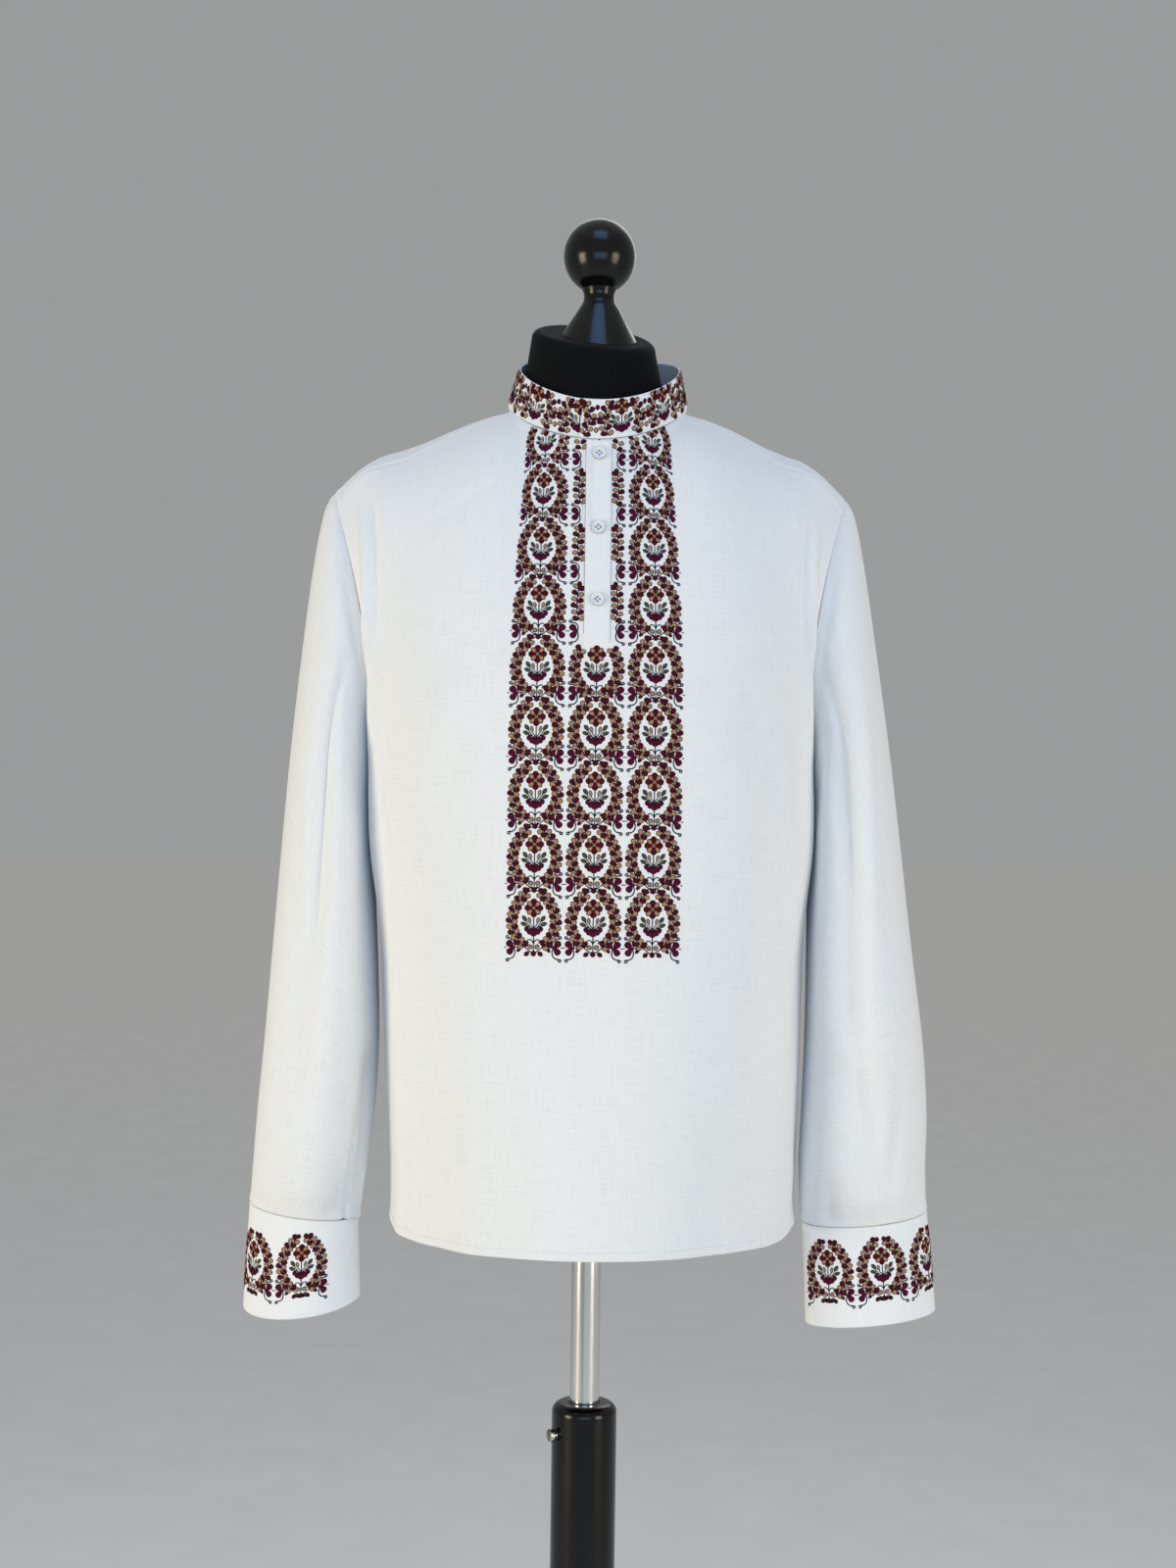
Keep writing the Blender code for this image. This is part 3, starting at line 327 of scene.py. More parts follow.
FINE_SLEEVE_FOLDS = named_rows(
    SLEEVE_FOLD,
    (-1, 170, 0.84, 158, 1.08, 7, 0.0030),
    (-1, 145, 0.78, 139, 1.05, 3.6, -0.0032),
    (-1, 152, 0.78, 146, 1.05, 3.8, 0.0020),
    (-1, 62, 0.30, 74, 0.62, 8, 0.0020),
    (-1, 96, 0.0, 86, 0.62, 6, -0.0036),
    (-1, 112, 0.08, 106, 0.52, 8, 0.0026),
    (-1, 84, 0.52, 70, 0.86, 9, -0.0016),
    (1, 112, 0.55, 92, 0.90, 8, -0.0022),
    (1, 66, 0.16, 76, 0.56, 8, 0.0018),
    (1, 104, 0.0, 98, 0.50, 6, -0.0030),
    (1, 128, 0.08, 120, 0.44, 7, 0.0020),
    (1, 60, 0.70, 72, 1.02, 7, -0.0020),
)


# ---------------------------------------------------------------- shared helpers
def dress(made, slot, body, *nodes):
    """Hide the CAD nodes that a piece stands for, and attach it to the body that it rides on; slot,
    what it is made of, is not used.
    """
    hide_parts(*nodes)
    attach(made, body)


def smoothstep(value):
    value = np.clip(value, 0.0, 1.0)
    return value * value * (3 - 2 * value)


def spread(low, high, steps):
    return np.linspace(low, high, steps + 1)


def vec(x, y, z):
    return np.stack(np.broadcast_arrays(x, y, z), -1).astype(float)


def unit(vectors):
    return vectors / np.maximum(np.linalg.norm(vectors, axis=-1, keepdims=True), 1e-12)


def grid_normals(grid, closed=False):
    """A unit normal at each point of a grid of rows and columns."""
    across = np.empty_like(grid)
    across[:, 1:-1] = grid[:, 2:] - grid[:, :-2]
    if closed:
        across[:, 0] = grid[:, 1] - grid[:, -1]
        across[:, -1] = grid[:, 0] - grid[:, -2]
    else:
        across[:, 0] = grid[:, 1] - grid[:, 0]
        across[:, -1] = grid[:, -1] - grid[:, -2]
    along = np.empty_like(grid)
    along[1:-1] = grid[2:] - grid[:-2]
    along[0] = grid[1] - grid[0]
    along[-1] = grid[-1] - grid[-2]
    return unit(np.cross(across, along))


def facing_normals(grid, back):
    """Unit normals that face out of the front or the back."""
    return grid_normals(grid) * (-1 if back else 1)


def curve_rows(grid, positions):
    """Rows of a grid at fractional positions, on Catmull-Rom curves through its own rows."""
    first, last = 2 * grid[:1] - grid[1:2], 2 * grid[-1:] - grid[-2:-1]
    padded = np.concatenate([first, grid, last])
    i = np.clip(np.floor(positions).astype(int), 0, len(grid) - 2)
    t = (positions - i).reshape(-1, 1, 1)
    a, b, c, d = (padded[i + k] for k in range(4))
    curve = (2 * b) + (c - a) * t + (2 * a - 5 * b + 4 * c - d) * t ** 2
    return 0.5 * (curve + (3 * b - a - 3 * c + d) * t ** 3)


def refined(grid, row_positions, column_positions):
    fine = curve_rows(grid, row_positions)
    return curve_rows(fine.transpose(1, 0, 2), column_positions).transpose(1, 0, 2)


def lengths_along(points):
    """Running length along a line of points, or along each of several lines in a grid."""
    steps = np.linalg.norm(np.diff(points, axis=-2), axis=-1)
    start = np.zeros(steps.shape[:-1] + (1,))
    return np.concatenate([start, np.cumsum(steps, axis=-1)], axis=-1)


def runs(grid):
    """Running lengths across and up a grid of points."""
    return lengths_along(grid), lengths_along(grid.transpose(1, 0, 2)).T


def edge_distance(grid, closed=False):
    """How far each point lies from the nearest edge; a closed grid has none at its sides."""
    across, up = runs(grid)
    edge = np.minimum(up, up[-1:] - up)
    return edge if closed else np.minimum(edge, np.minimum(across, across[:, -1:] - across))


def groove(distance, width):
    """A soft bell round a distance of 0."""
    return np.exp(-(distance / width) ** 2)


# ---------------------------------------------------------------- the body's surface
def neck_ring(angle):
    cosine = np.cos(angle)
    return vec(
        NECK_HALF_WIDTH * np.sin(angle),
        NECK_MID_Y - NECK_HALF_DEPTH * cosine,
        NECK_SIDE_Z - NECK_SLOPE * cosine - NECK_DIP * cosine * cosine,
    )


def armhole(angle):
    mid = (ARMHOLE_TOP + ARMHOLE_BOTTOM) / 2
    half = (ARMHOLE_TOP - ARMHOLE_BOTTOM) / 2
    sine, cosine = np.sin(angle), np.cos(angle)
    bow = vec(-ARMHOLE_BOW * sine * sine, -ARMHOLE_DEPTH * sine, 0 * sine)
    return mid + half * np.asarray(cosine)[..., None] + bow


def section(row, seam_y, s, back):
    """A point of a body section at share s from its centre (0) to its side seam (1)."""
    sine = np.sin(s * math.pi / 2)
    reach = np.maximum(1 - np.abs(sine) ** row.power, 0) ** (1 / row.power)
    far = row.back_y if back else row.front_y
    return vec(row.half_width * sine, seam_y + (far - seam_y) * reach, row.z)


def hem_height(s):
    return BODY.rows[0][0] + HEM_SIDE_RISE * smoothstep((np.abs(s) - 0.72) / 0.26)


def top_edge(s, back):
    """The panel's end at the neckline or the shoulder seam, for s from 0 to 1."""
    share = s / NECK_SHARE
    angle = math.pi - share * (math.pi - SEAM_ANGLE) if back else share * SEAM_ANGLE
    at_neck = neck_ring(angle)
    share = np.clip((s - NECK_SHARE) / (1 - NECK_SHARE), 0, 1)[..., None]
    at_shoulder = neck_ring(SEAM_ANGLE) * (1 - share) + armhole(ARM_SEAM_ANGLE) * share
    at_shoulder[..., 2] += SHOULDER_ARCH.at(share[..., 0]).rise
    return np.where((s <= NECK_SHARE)[..., None], at_neck, at_shoulder)


def upper_profile(s, v, back):
    """Cloth from the chest (v 0) to the top edge (v 1), before it is fitted to the armhole."""
    s, v = np.broadcast_arrays(np.asarray(s, float), np.asarray(v, float))
    row = BODY.at(ARMPIT_Z)
    low = section(row, row.seam_y, s, back)
    high = top_edge(s, back)
    edge = (BACK_EDGE if back else FRONT_EDGE).at(s)
    heading = unit(vec(edge.x, edge.y, edge.z))
    rise, reach = (0.130, 0.080) if back else (0.085, 0.085)
    t = v[..., None]
    u = 1 - t
    second, third = low + np.array((0, 0, rise)), high - heading * reach
    return low * u ** 3 + second * 3 * u * u * t + third * 3 * u * t * t + high * t ** 3


def body_form(s, r, back):
    """The body's smooth surface: r is 0 at the hem, 1 at the armpits and 2 at the top edge."""
    mirror = np.where(s < 0, -1.0, 1.0)
    s = np.abs(s)
    hem = hem_height(s)
    row = BODY.at(hem + (ARMPIT_Z - hem) * np.minimum(r, 1))
    lower = section(row, row.seam_y, s, back)
    v = np.clip(r - 1, 0, 1)
    upper = upper_profile(s, v, back)
    if back:
        angle = -math.pi + v * (math.pi + ARM_SEAM_ANGLE)
    else:
        angle = math.pi - v * (math.pi - ARM_SEAM_ANGLE)
    fit = armhole(angle) - upper_profile(np.ones_like(s), v, back)
    upper = upper + fit * (s ** 5)[..., None]
    point = np.where((r <= 1)[..., None], lower, upper)
    sway = SWAY.at(point[..., 2])
    share = smoothstep((s - NECK_SHARE) / (1 - NECK_SHARE))
    point[..., 0] = point[..., 0] * mirror
    point[..., 0] += share * np.where(mirror < 0, sway.side_left, sway.side_right)
    return point


def eased(grid, first_row):
    """Creases of a grid smoothed out by passes that pull in and push out; its edges stay."""
    grid = grid.copy()
    for _ in range(EASE_PASSES):
        for pull in EASE_PULLS:
            mean = (grid[:, :-2] + grid[:, 2:])[first_row:-1]
            mean = mean + (grid[:-2, 1:-1] + grid[2:, 1:-1])[first_row - 1:]
            inner = grid[first_row:-1, 1:-1]
            grid[first_row:-1, 1:-1] = inner + (mean / 4 - inner) * pull
    return grid


LAST_COLUMN, LAST_ROW = 2 * (NECK_COLUMNS + SIDE_COLUMNS), LOWER_ROWS + UPPER_ROWS


def panel_columns():
    near = spread(0, NECK_SHARE, NECK_COLUMNS)[:-1]
    half = np.concatenate([near, spread(NECK_SHARE, 1, SIDE_COLUMNS)])
    return np.concatenate([-half[:0:-1], half])


def panel_rows():
    return np.concatenate([spread(0, 1, LOWER_ROWS)[:-1], spread(1, 2, UPPER_ROWS)])


def body_grid(back):
    s, r = np.meshgrid(panel_columns(), panel_rows())
    return eased(body_form(s, r, back), LOWER_ROWS)


BODY_FOLD_ENDS = 0.3        # the share of a fold over which it fades at each end
SLEEVE_FOLD_ENDS = 0.25


def fade(share, ends):
    """1 along most of a fold, down to 0 at its ends (shares 0 and 1)."""
    return smoothstep(share / ends) * smoothstep((1 - share) / ends)


def fold_height(folds, s, z):
    """The folds' height at places on a panel: soft ridges and troughs along lines."""
    total = np.zeros_like(z)
    for fold in folds:
        share = (fold.z_top - z) / (fold.z_top - fold.z_bottom)
        mid = fold.s_top + (fold.s_bottom - fold.s_top) * share
        across = (s - mid) * HALF_GIRTH / fold.width
        total += fold.depth * fade(share, BODY_FOLD_ENDS) * np.exp(-across * across)
    return total


# ---------------------------------------------------------------- collar, sleeves, cuffs
def collar_ring(angle, inset, share):
    low = neck_ring(angle)
    cosine, sine = np.cos(angle), np.sin(angle)
    high = vec(
        COLLAR_TOP_MID_X + COLLAR_TOP_HALF_WIDTH * sine,
        NECK_MID_Y - COLLAR_TOP_HALF_DEPTH * cosine,
        COLLAR_TOP_Z - NECK_SLOPE * cosine - COLLAR_TOP_DIP * cosine ** 2,
    )
    rise = unit(high - low)
    low = low + rise * SEAM_GAP
    share = np.asarray(share)[..., None]
    inset = np.asarray(inset)[..., None]
    return low + (high - low) * share - vec(sine, -cosine, 0 * sine) * inset


def cuff_ring(side):
    def ring(angle, inset, share):
        row = (CUFF_LEFT if side < 0 else CUFF_RIGHT).at(share)
        cosine, sine = np.cos(CUFF_BUTTON_ANGLE + angle), np.sin(CUFF_BUTTON_ANGLE + angle)
        z = row.z + row.rise * cosine - row.dip * sine
        sway = SWAY.at(row.z)
        x = side * (row.mid_x + (row.half_x - inset) * cosine)
        x = x + (sway.sleeve_left if side < 0 else sway.sleeve_right)
        return vec(x, -(row.half_y - inset) * sine, z)
    return ring


def lapped_grid(ring, lap, shares, columns):
    """Rows of a band whose ends overlap: ring(angle, inset, row share) gives its points."""
    angle, share = np.meshgrid(spread(-lap, 2 * math.pi + lap, columns), shares)
    under = smoothstep((angle - (2 * math.pi - lap - LAP_EASE_START)) / LAP_EASE)
    return ring(angle, LAP_DROP * under, share)


def sleeve_ring(side, t, angle):
    row = SLEEVE.at(t)
    inner_x = row.inner_left if side < 0 else row.inner_right
    cosine, sine = np.cos(angle), np.sin(angle)
    x = (row.outer_x + inner_x) / 2 + (row.outer_x - inner_x) / 2 * cosine - row.bow * sine * sine
    z = (row.outer_z + row.inner_z) / 2 + (row.outer_z - row.inner_z) / 2 * cosine
    start = 0.0002 + CLOTH * 1.1 * (1 - cosine) / 2
    x = x + start * (1 - smoothstep(t / 0.1))
    return vec(x, -row.depth * sine, z - row.dip * sine)


def turned_off(degrees, middle):
    """How far round an angle lies from a middle one, between -180 and 180 degrees."""
    return (degrees - middle + 180) % 360 - 180


def sleeve_folds(side, t, degrees):
    """The height of a sleeve's folds and of the pleats at its cuff."""
    height = np.zeros_like(degrees)
    for fold in SLEEVE_FOLDS + FINE_SLEEVE_FOLDS:
        if fold.side != side:
            continue
        share = (t - fold.t_top) / (fold.t_bottom - fold.t_top)
        mid = fold.angle_top + (fold.angle_bottom - fold.angle_top) * share
        off = turned_off(degrees, mid) / fold.width
        height += fold.depth * fade(share, SLEEVE_FOLD_ENDS) * np.exp(-off * off)
    for pleat in CUFF_PLEATS:
        off = turned_off(degrees, pleat) / PLEAT_WIDTH
        ends = smoothstep((t - PLEAT_START) / PLEAT_RISE) * smoothstep((1 - t) / PLEAT_FALL)
        height -= PLEAT_DEPTH * ends * np.exp(-off * off)
    return height


def sleeve_grid(side, t, angle):
    """The sleeve's middle surface with its folds, and its unit normals facing out."""
    t, angle = np.meshgrid(t, angle, indexing="ij")
    point = sleeve_ring(side, t, angle)
    step = 0.01
    across = sleeve_ring(side, t, angle + step) - sleeve_ring(side, t, angle - step)
    along = sleeve_ring(side, np.minimum(t + step, 1), angle)
    along = along - sleeve_ring(side, np.maximum(t - step, 0), angle)
    normal = unit(np.cross(across, along))
    middle = (sleeve_ring(side, t, 0 * t) + sleeve_ring(side, t, 0 * t + math.pi)) / 2
    outward = point - vec(middle[..., 0], 0 * t, point[..., 2])
    normal *= np.sign(np.sum(normal * outward, axis=-1, keepdims=True))
    point = point + normal * sleeve_folds(side, t, np.degrees(angle))[..., None]
    sway = SWAY.at(point[..., 2])
    point[..., 0] = side * point[..., 0] + (sway.sleeve_left if side < 0 else sway.sleeve_right)
    return point


# ---------------------------------------------------------------- materials
class Shader:
    """A material built from nodes round its Principled shader."""

    def __init__(self, name, colour, roughness, **sockets):
        self.material = bpy.data.materials.new(name)
        self.material.use_nodes = True
        self.material.diffuse_color = (*colour, 1.0)
        self.tree = self.material.node_tree
        self.shader = self.tree.nodes["Principled BSDF"]
        self.shader.inputs["Base Color"].default_value = (*colour, 1.0)
        self.shader.inputs["Roughness"].default_value = roughness
        for key, value in sockets.items():
            self.shader.inputs[key.replace("_", " ")].default_value = value
        self.normal = None

    def add(self, kind, inputs=(), **settings):
        node = self.tree.nodes.new("ShaderNode" + kind)
        for key, value in settings.items():
            setattr(node, key, value)
        for key, value in dict(inputs).items():
            if isinstance(value, bpy.types.NodeSocket):
                self.tree.links.new(value, node.inputs[key])
            else:
                node.inputs[key].default_value = value
        return node

    def place(self, scale, uv=None):
        """Coordinates in metres, from the cloth's own lengths or from the piece, then scaled."""
        if uv:
            source = self.add("UVMap", uv_map=uv).outputs["UV"]
        else:
            source = self.add("TexCoord").outputs["Object"]
        return self.add("Mapping", {"Vector": source, "Scale": scale}).outputs["Vector"]

    def noise(self, scale, detail, uv=None, roughness=0.55):
        """Noise with about as many spots to a metre along each axis as the scale says."""
        node = self.add("TexNoise", {"Vector": self.place(scale, uv), "Scale": 1.0,
                                     "Detail": detail, "Roughness": roughness})
        return node.outputs["Fac"]

    def bands(self, at, pitch, direction):
        """Parallel bands with a pitch in metres, from a texture with 20 radians to a unit."""
        scale = 2 * math.pi / (20 * pitch)
        node = self.add("TexWave", {"Vector": at, "Scale": scale, "Distortion": 0.0},
                        wave_type="BANDS", bands_direction=direction, wave_profile="SIN")
        return node.outputs["Fac"]

    def math(self, operation, a, b):
        node = self.add("Math", operation=operation)
        for socket, value in zip(node.inputs, (a, b)):
            if isinstance(value, bpy.types.NodeSocket):
                self.tree.links.new(value, socket)
            else:
                socket.default_value = value
        return node.outputs[0]

    def bump(self, height, depth, strength):
        inputs = {"Height": height, "Distance": depth, "Strength": strength}
        if self.normal:
            inputs["Normal"] = self.normal
        self.normal = self.add("Bump", inputs).outputs["Normal"]

    def shades(self, factor, low, high, low_at, high_at):
        """The base colour runs from low to high with a factor."""
        ramp = self.add("ValToRGB", {"Fac": factor})
        ends = ramp.color_ramp.elements
        ends[0].position, ends[1].position = low_at, high_at
        ends[0].color, ends[1].color = (*low, 1.0), (*high, 1.0)
        self.tree.links.new(ramp.outputs["Color"], self.shader.inputs["Base Color"])

    def roughness(self, factor, low, high):
        node = self.add("MapRange", {"Value": factor, "To Min": low, "To Max": high})
        self.tree.links.new(node.outputs["Result"], self.shader.inputs["Roughness"])

    def done(self):
        if self.normal:
            self.tree.links.new(self.normal, self.shader.inputs["Normal"])
        return self.material


def cotton(name, low, high):
    """Fine plain-woven cotton: threads over and under, slubs, and faint pressed creases."""
    made = Shader(name, high, 0.82, Sheen_Weight=0.25, Sheen_Roughness=0.45,
                  Specular_IOR_Level=0.35)
    flat = made.place((1, 1, 1), "cloth")
    warp, weft = made.bands(flat, 0.0009, "X"), made.bands(flat, 0.0009, "Y")
    slub_x = made.noise((900, 45, 1), 2, "cloth")
    slub_y = made.noise((45, 900, 1), 2, "cloth")
    slubs = made.math("ADD", slub_x, slub_y)
    soft = made.noise((14, 9, 1), 3, "cloth")
    made.shades(slubs, low, high, 0.75, 1.25)
    made.bump(made.math("MAXIMUM", warp, weft), 0.00008, 0.6)
    made.bump(slubs, 0.00016, 0.6)
    made.bump(soft, 0.0009, 0.5)
    return made.done()


def thread(name, colour, groove_shade_and_tone):
    """Satin stitches: fine parallel threads with a silky sheen; their colour darkens in the grooves
    between threads, a painted shade, and in random patches.
    """
    made = Shader(name, colour, 0.45, Specular_IOR_Level=0.06)
    lines = made.bands(made.place((1, 1, 1), "cloth"), 0.00042, "X")
    shade = made.noise((2600, 500, 1), 2, "cloth")
    # Painted shade: the colour falls to the darker one in the grooves between threads; the noise
    # also darkens random patches.
    made.shades(made.math("MULTIPLY", lines, shade), groove_shade_and_tone, colour, 0.02, 0.42)
    made.bump(lines, 0.00012, 0.7)
    return made.done()


def jersey():
    """The form's black stretch cover: fine knitted ribs with a little lint."""
    made = Shader("form_jersey", (0.006, 0.006, 0.007), 0.80, Sheen_Weight=0.03,
                  Sheen_Roughness=0.4, Specular_IOR_Level=0.10)
    at = made.place((1, 1, 1))
    ribs = made.math("MULTIPLY", made.bands(at, 0.0011, "X"), made.bands(at, 0.0014, "Z"))
    lint = made.noise((400, 400, 400), 5)
    made.shades(lint, (0.0025, 0.0025, 0.003), (0.006, 0.006, 0.0065), 0.35, 0.75)
    made.bump(ribs, 0.00012, 0.6)
    made.bump(made.noise((30, 30, 18), 3), 0.0010, 0.35)
    return made.done()


def lacquer(name):
    """Black gloss lacquer on turned wood and tube, with a faint orange peel and dust."""
    made = Shader(name, (0.004, 0.004, 0.004), 0.30, Coat_Weight=0.12, Coat_Roughness=0.10,
                  Specular_IOR_Level=0.30)
    dust = made.noise((160, 160, 60), 6)
    made.shades(dust, (0.002, 0.002, 0.002), (0.006, 0.0055, 0.005), 0.45, 0.85)
    made.roughness(made.noise((35, 35, 12), 4), 0.10, 0.30)
    made.bump(made.noise((220, 220, 220), 2), 0.00006, 0.5)
    return made.done()


def chrome(name):
    """Plated steel with fine draw lines along it and a little hazing from handling in its
    roughness; dark and pale streaks along it in its colour are a painted reflection.
    """
    made = Shader(name, (0.92, 0.91, 0.89), 0.20, Metallic=1.0)
    lines = made.noise((1400, 1400, 12), 3)
    haze_and_painted_reflections = made.noise((110, 110, 1.2), 2)
    made.roughness(made.math("MULTIPLY", lines, haze_and_painted_reflections), 0.08, 0.34)
    # Painted reflection: the colour runs from dark to pale in streaks along the tube; the same
    # noise sets the handling marks in its roughness.
    made.shades(haze_and_painted_reflections, (0.42, 0.40, 0.37), (0.96, 0.95, 0.93), 0.36, 0.52)
    made.bump(lines, 0.00003, 0.4)
    return made.done()


def pearl(name, tone):
    """White polyester buttons with a faint pearl cloud."""
    made = Shader(name, (0.86 * tone, 0.87 * tone, 0.87 * tone), 0.24, Coat_Weight=0.35,
                  Coat_Roughness=0.12, Subsurface_Weight=0.12)
    made.shader.inputs["Subsurface Radius"].default_value = (0.0012, 0.0011, 0.0010)
    cloud = made.noise((260, 180, 400), 4, roughness=0.6)
    made.shades(cloud, (0.78 * tone, 0.79 * tone, 0.80 * tone),
                (0.88 * tone, 0.88 * tone, 0.87 * tone), 0.3, 0.7)
    made.bump(made.noise((900, 900, 900), 2), 0.00003, 0.4)
    return made.done()


COTTON = cotton("white_cotton", (0.83, 0.83, 0.83), (0.89, 0.89, 0.885))
BAND_COTTON = cotton("white_band_cotton", (0.86, 0.86, 0.86), (0.91, 0.91, 0.905))
SEWING_THREAD = thread("white_thread", (0.88, 0.88, 0.87), (0.70, 0.70, 0.70))
# The grey edge thread is painted shadow: dark cords laid along the placket's edges where its shade
# falls.
EDGE_SHADOW_THREAD = thread("edge_shadow_thread", (0.36, 0.36, 0.37), (0.26, 0.26, 0.27))
THREADS = {
    "red": thread("dark_red_thread", (0.105, 0.005, 0.011), (0.055, 0.002, 0.006)),
    "plum": thread("plum_thread", (0.120, 0.003, 0.032), (0.065, 0.002, 0.018)),
    "tan": thread("tan_thread", (0.56, 0.32, 0.165), (0.36, 0.185, 0.09)),
    "green": thread("grey_green_thread", (0.100, 0.100, 0.050), (0.045, 0.048, 0.026)),
    "black": thread("black_thread", (0.008, 0.007, 0.015), (0.004, 0.004, 0.008)),
}
JERSEY = jersey()
# button_shade is a darker copy of the pearl: painted shade in the buttons' holes and round their
# rims.
PEARL, BUTTON_SHADE = pearl("button_pearl", 1.0), pearl("button_shade", 0.42)
LACQUER, CHROME = lacquer("black_lacquer"), chrome("plated_steel")


# ---------------------------------------------------------------- mesh makers
def new_piece(name, points, faces, materials, uv=None, face_materials=None, sharp=50):
    """A piece from points and faces; uv holds a pair for every corner of every face."""
    mesh = bpy.data.meshes.new(name)
    mesh.from_pydata(np.asarray(points).tolist(), [], faces)
    if uv is not None:
        mesh.uv_layers.new(name="cloth").data.foreach_set("uv", np.asarray(uv, np.float32).ravel())
    for made in materials:
        mesh.materials.append(made)
    if face_materials is not None:
        mesh.polygons.foreach_set("material_index", np.asarray(face_materials, np.int32))
    mesh.shade_smooth()
    mesh.set_sharp_from_angle(angle=math.radians(sharp))
    mesh.validate()
    return linked(name, mesh)


def shell(name, outer, inner, finish, closed=False, cut=None):
    """A closed thin shell between two grids of points; cut marks cells that are left open."""
    rows, columns = outer.shape[:2]
    spans = columns if closed else columns - 1
    i, j = np.meshgrid(np.arange(rows - 1), np.arange(spans), indexing="ij")
    keep = np.ones(i.shape, bool) if cut is None else ~cut
    i, j = i[keep], j[keep]
    n = (j + 1) % columns
    quads = np.stack([i * columns + j, i * columns + n, (i + 1) * columns + n,
                      (i + 1) * columns + j], -1)
    around = np.concatenate([outer, outer[:, :1]], axis=1) if closed else outer
    u = lengths_along(around)
    u = u - u[:, [u.shape[1] // 2]]
    v = lengths_along(outer[:, columns // 2])
    corners = [(i, j), (i, j + 1), (i + 1, j + 1), (i + 1, j)]
    uv = np.stack([np.stack([u[a, b], v[a]], -1) for a, b in corners], 1)
    edges = np.concatenate([quads[:, [k, (k + 1) % 4]] for k in range(4)])
    edge_uv = np.concatenate([uv[:, [k, (k + 1) % 4]] for k in range(4)])
    _, which, uses = np.unique(np.sort(edges, axis=1), axis=0, return_inverse=True,
                               return_counts=True)
    rim = uses[which.ravel()] == 1
    a, b = edges[rim].T
    under = rows * columns
    rims = np.stack([a, a + under, b + under, b], -1)
    rim_uv = edge_uv[rim][:, [0, 0, 1, 1]]
    faces = np.concatenate([quads, quads[:, ::-1] + under, rims])
    uvs = np.concatenate([uv, uv[:, ::-1], rim_uv])
    points = np.concatenate([outer.reshape(-1, 3), inner.reshape(-1, 3)])
    return new_piece(name, points, faces.tolist(), [finish], uvs, sharp=60)


EDGE_STEPS = (0.0, 0.00015, 0.0005, 0.0010, 0.0018, 0.0032)


def edged(length, step):
    """Places along a length as shares: close together near its ends, then even steps."""
    *near, last = EDGE_STEPS
    middle = np.linspace(last, length - last, max(round((length - last - last) / step), 1) + 1)
    return np.concatenate([near, middle, length - np.array(near[::-1])]) / length


def rounded(distance, thickness, radius=0.0010):
    """Half the thickness of a band at a distance from its folded edge."""
    share = np.clip(distance / radius, 0, 1)
    return thickness / 2 * np.sqrt(np.maximum(1 - (1 - share) ** 2, 0.02))


def turned(name, profile, finish, segments=96, foot=None):
    """A piece turned about Z from (radius, z) points that start and end on the axis."""
    turn = 2 * math.pi * np.arange(segments) / segments
    points, rings = [], []
    for index, (radius, z) in enumerate(profile):
        start = len(points)
        if radius == 0:
            points.append((0, 0, z))
            rings.append([start] * segments)
            continue
        radii, heights = foot(turn) if foot and index == 1 else (radius, z)
        ring = vec(radii * np.cos(turn), radii * np.sin(turn), heights)
        points.extend(ring.tolist())
        rings.append(list(range(start, start + segments)))
    faces = []
    for low, high in zip(rings, rings[1:]):
        for k in range(segments):
            n = (k + 1) % segments
            faces.append(tuple(dict.fromkeys((low[k], low[n], high[n], high[k]))))
    faces = [f for f in faces if len(f) > 2]
    return new_piece(name, points, faces, [finish], sharp=35)


def mesh_from(bm, name):
    mesh = bpy.data.meshes.new(name)
    bm.to_mesh(mesh)
    bm.free()
    return mesh


def cut_by(blank, bm, name):
    """The mesh that is left of a blank when a shape is cut out of it; both are used up."""
    cutter = linked(name, mesh_from(bm, name))
    cut = blank.modifiers.new(name, "BOOLEAN")
    cut.operation, cut.object = "DIFFERENCE", cutter
    graph = bpy.context.evaluated_depsgraph_get()
    mesh = bpy.data.meshes.new_from_object(blank.evaluated_get(graph))
    bpy.data.objects.remove(blank)
    bpy.data.objects.remove(cutter)
    return mesh


def set_on(name, mesh, point, facing):
    """A piece whose mesh is moved to a point and turned, so that its +Z faces outwards."""
    matrix = Vector(facing).to_track_quat("Z", "Y").to_matrix().to_4x4()
    matrix.translation = Vector(point)
    mesh.transform(matrix)
    return linked(name, mesh)


def arc(mid_radius, mid_z, size, start, end, steps, height=None):
    angles = np.radians(spread(start, end, steps))
    reach = mid_radius + size * np.cos(angles)
    return list(zip(reach.tolist(), (mid_z + (height or size) * np.sin(angles)).tolist()))


# ---------------------------------------------------------------- stitches
MM = 0.001
GROUND_STEP = 0.001     # the spacing of the points that stitches are laid between
# Stitches by the millimetre: a seam's, then the heights of patches and of corded lines.
STITCH_PITCH, STITCH_LENGTH, STITCH_WIDTH, STITCH_HEIGHT = 2.6, 1.9, 0.40, 0.16
RIM_FOOT, RIM_TOP, RIM_STEP, PATCH_EDGE, CORD_FOOT = -0.05, 0.20, 0.16, 0.12, -0.10


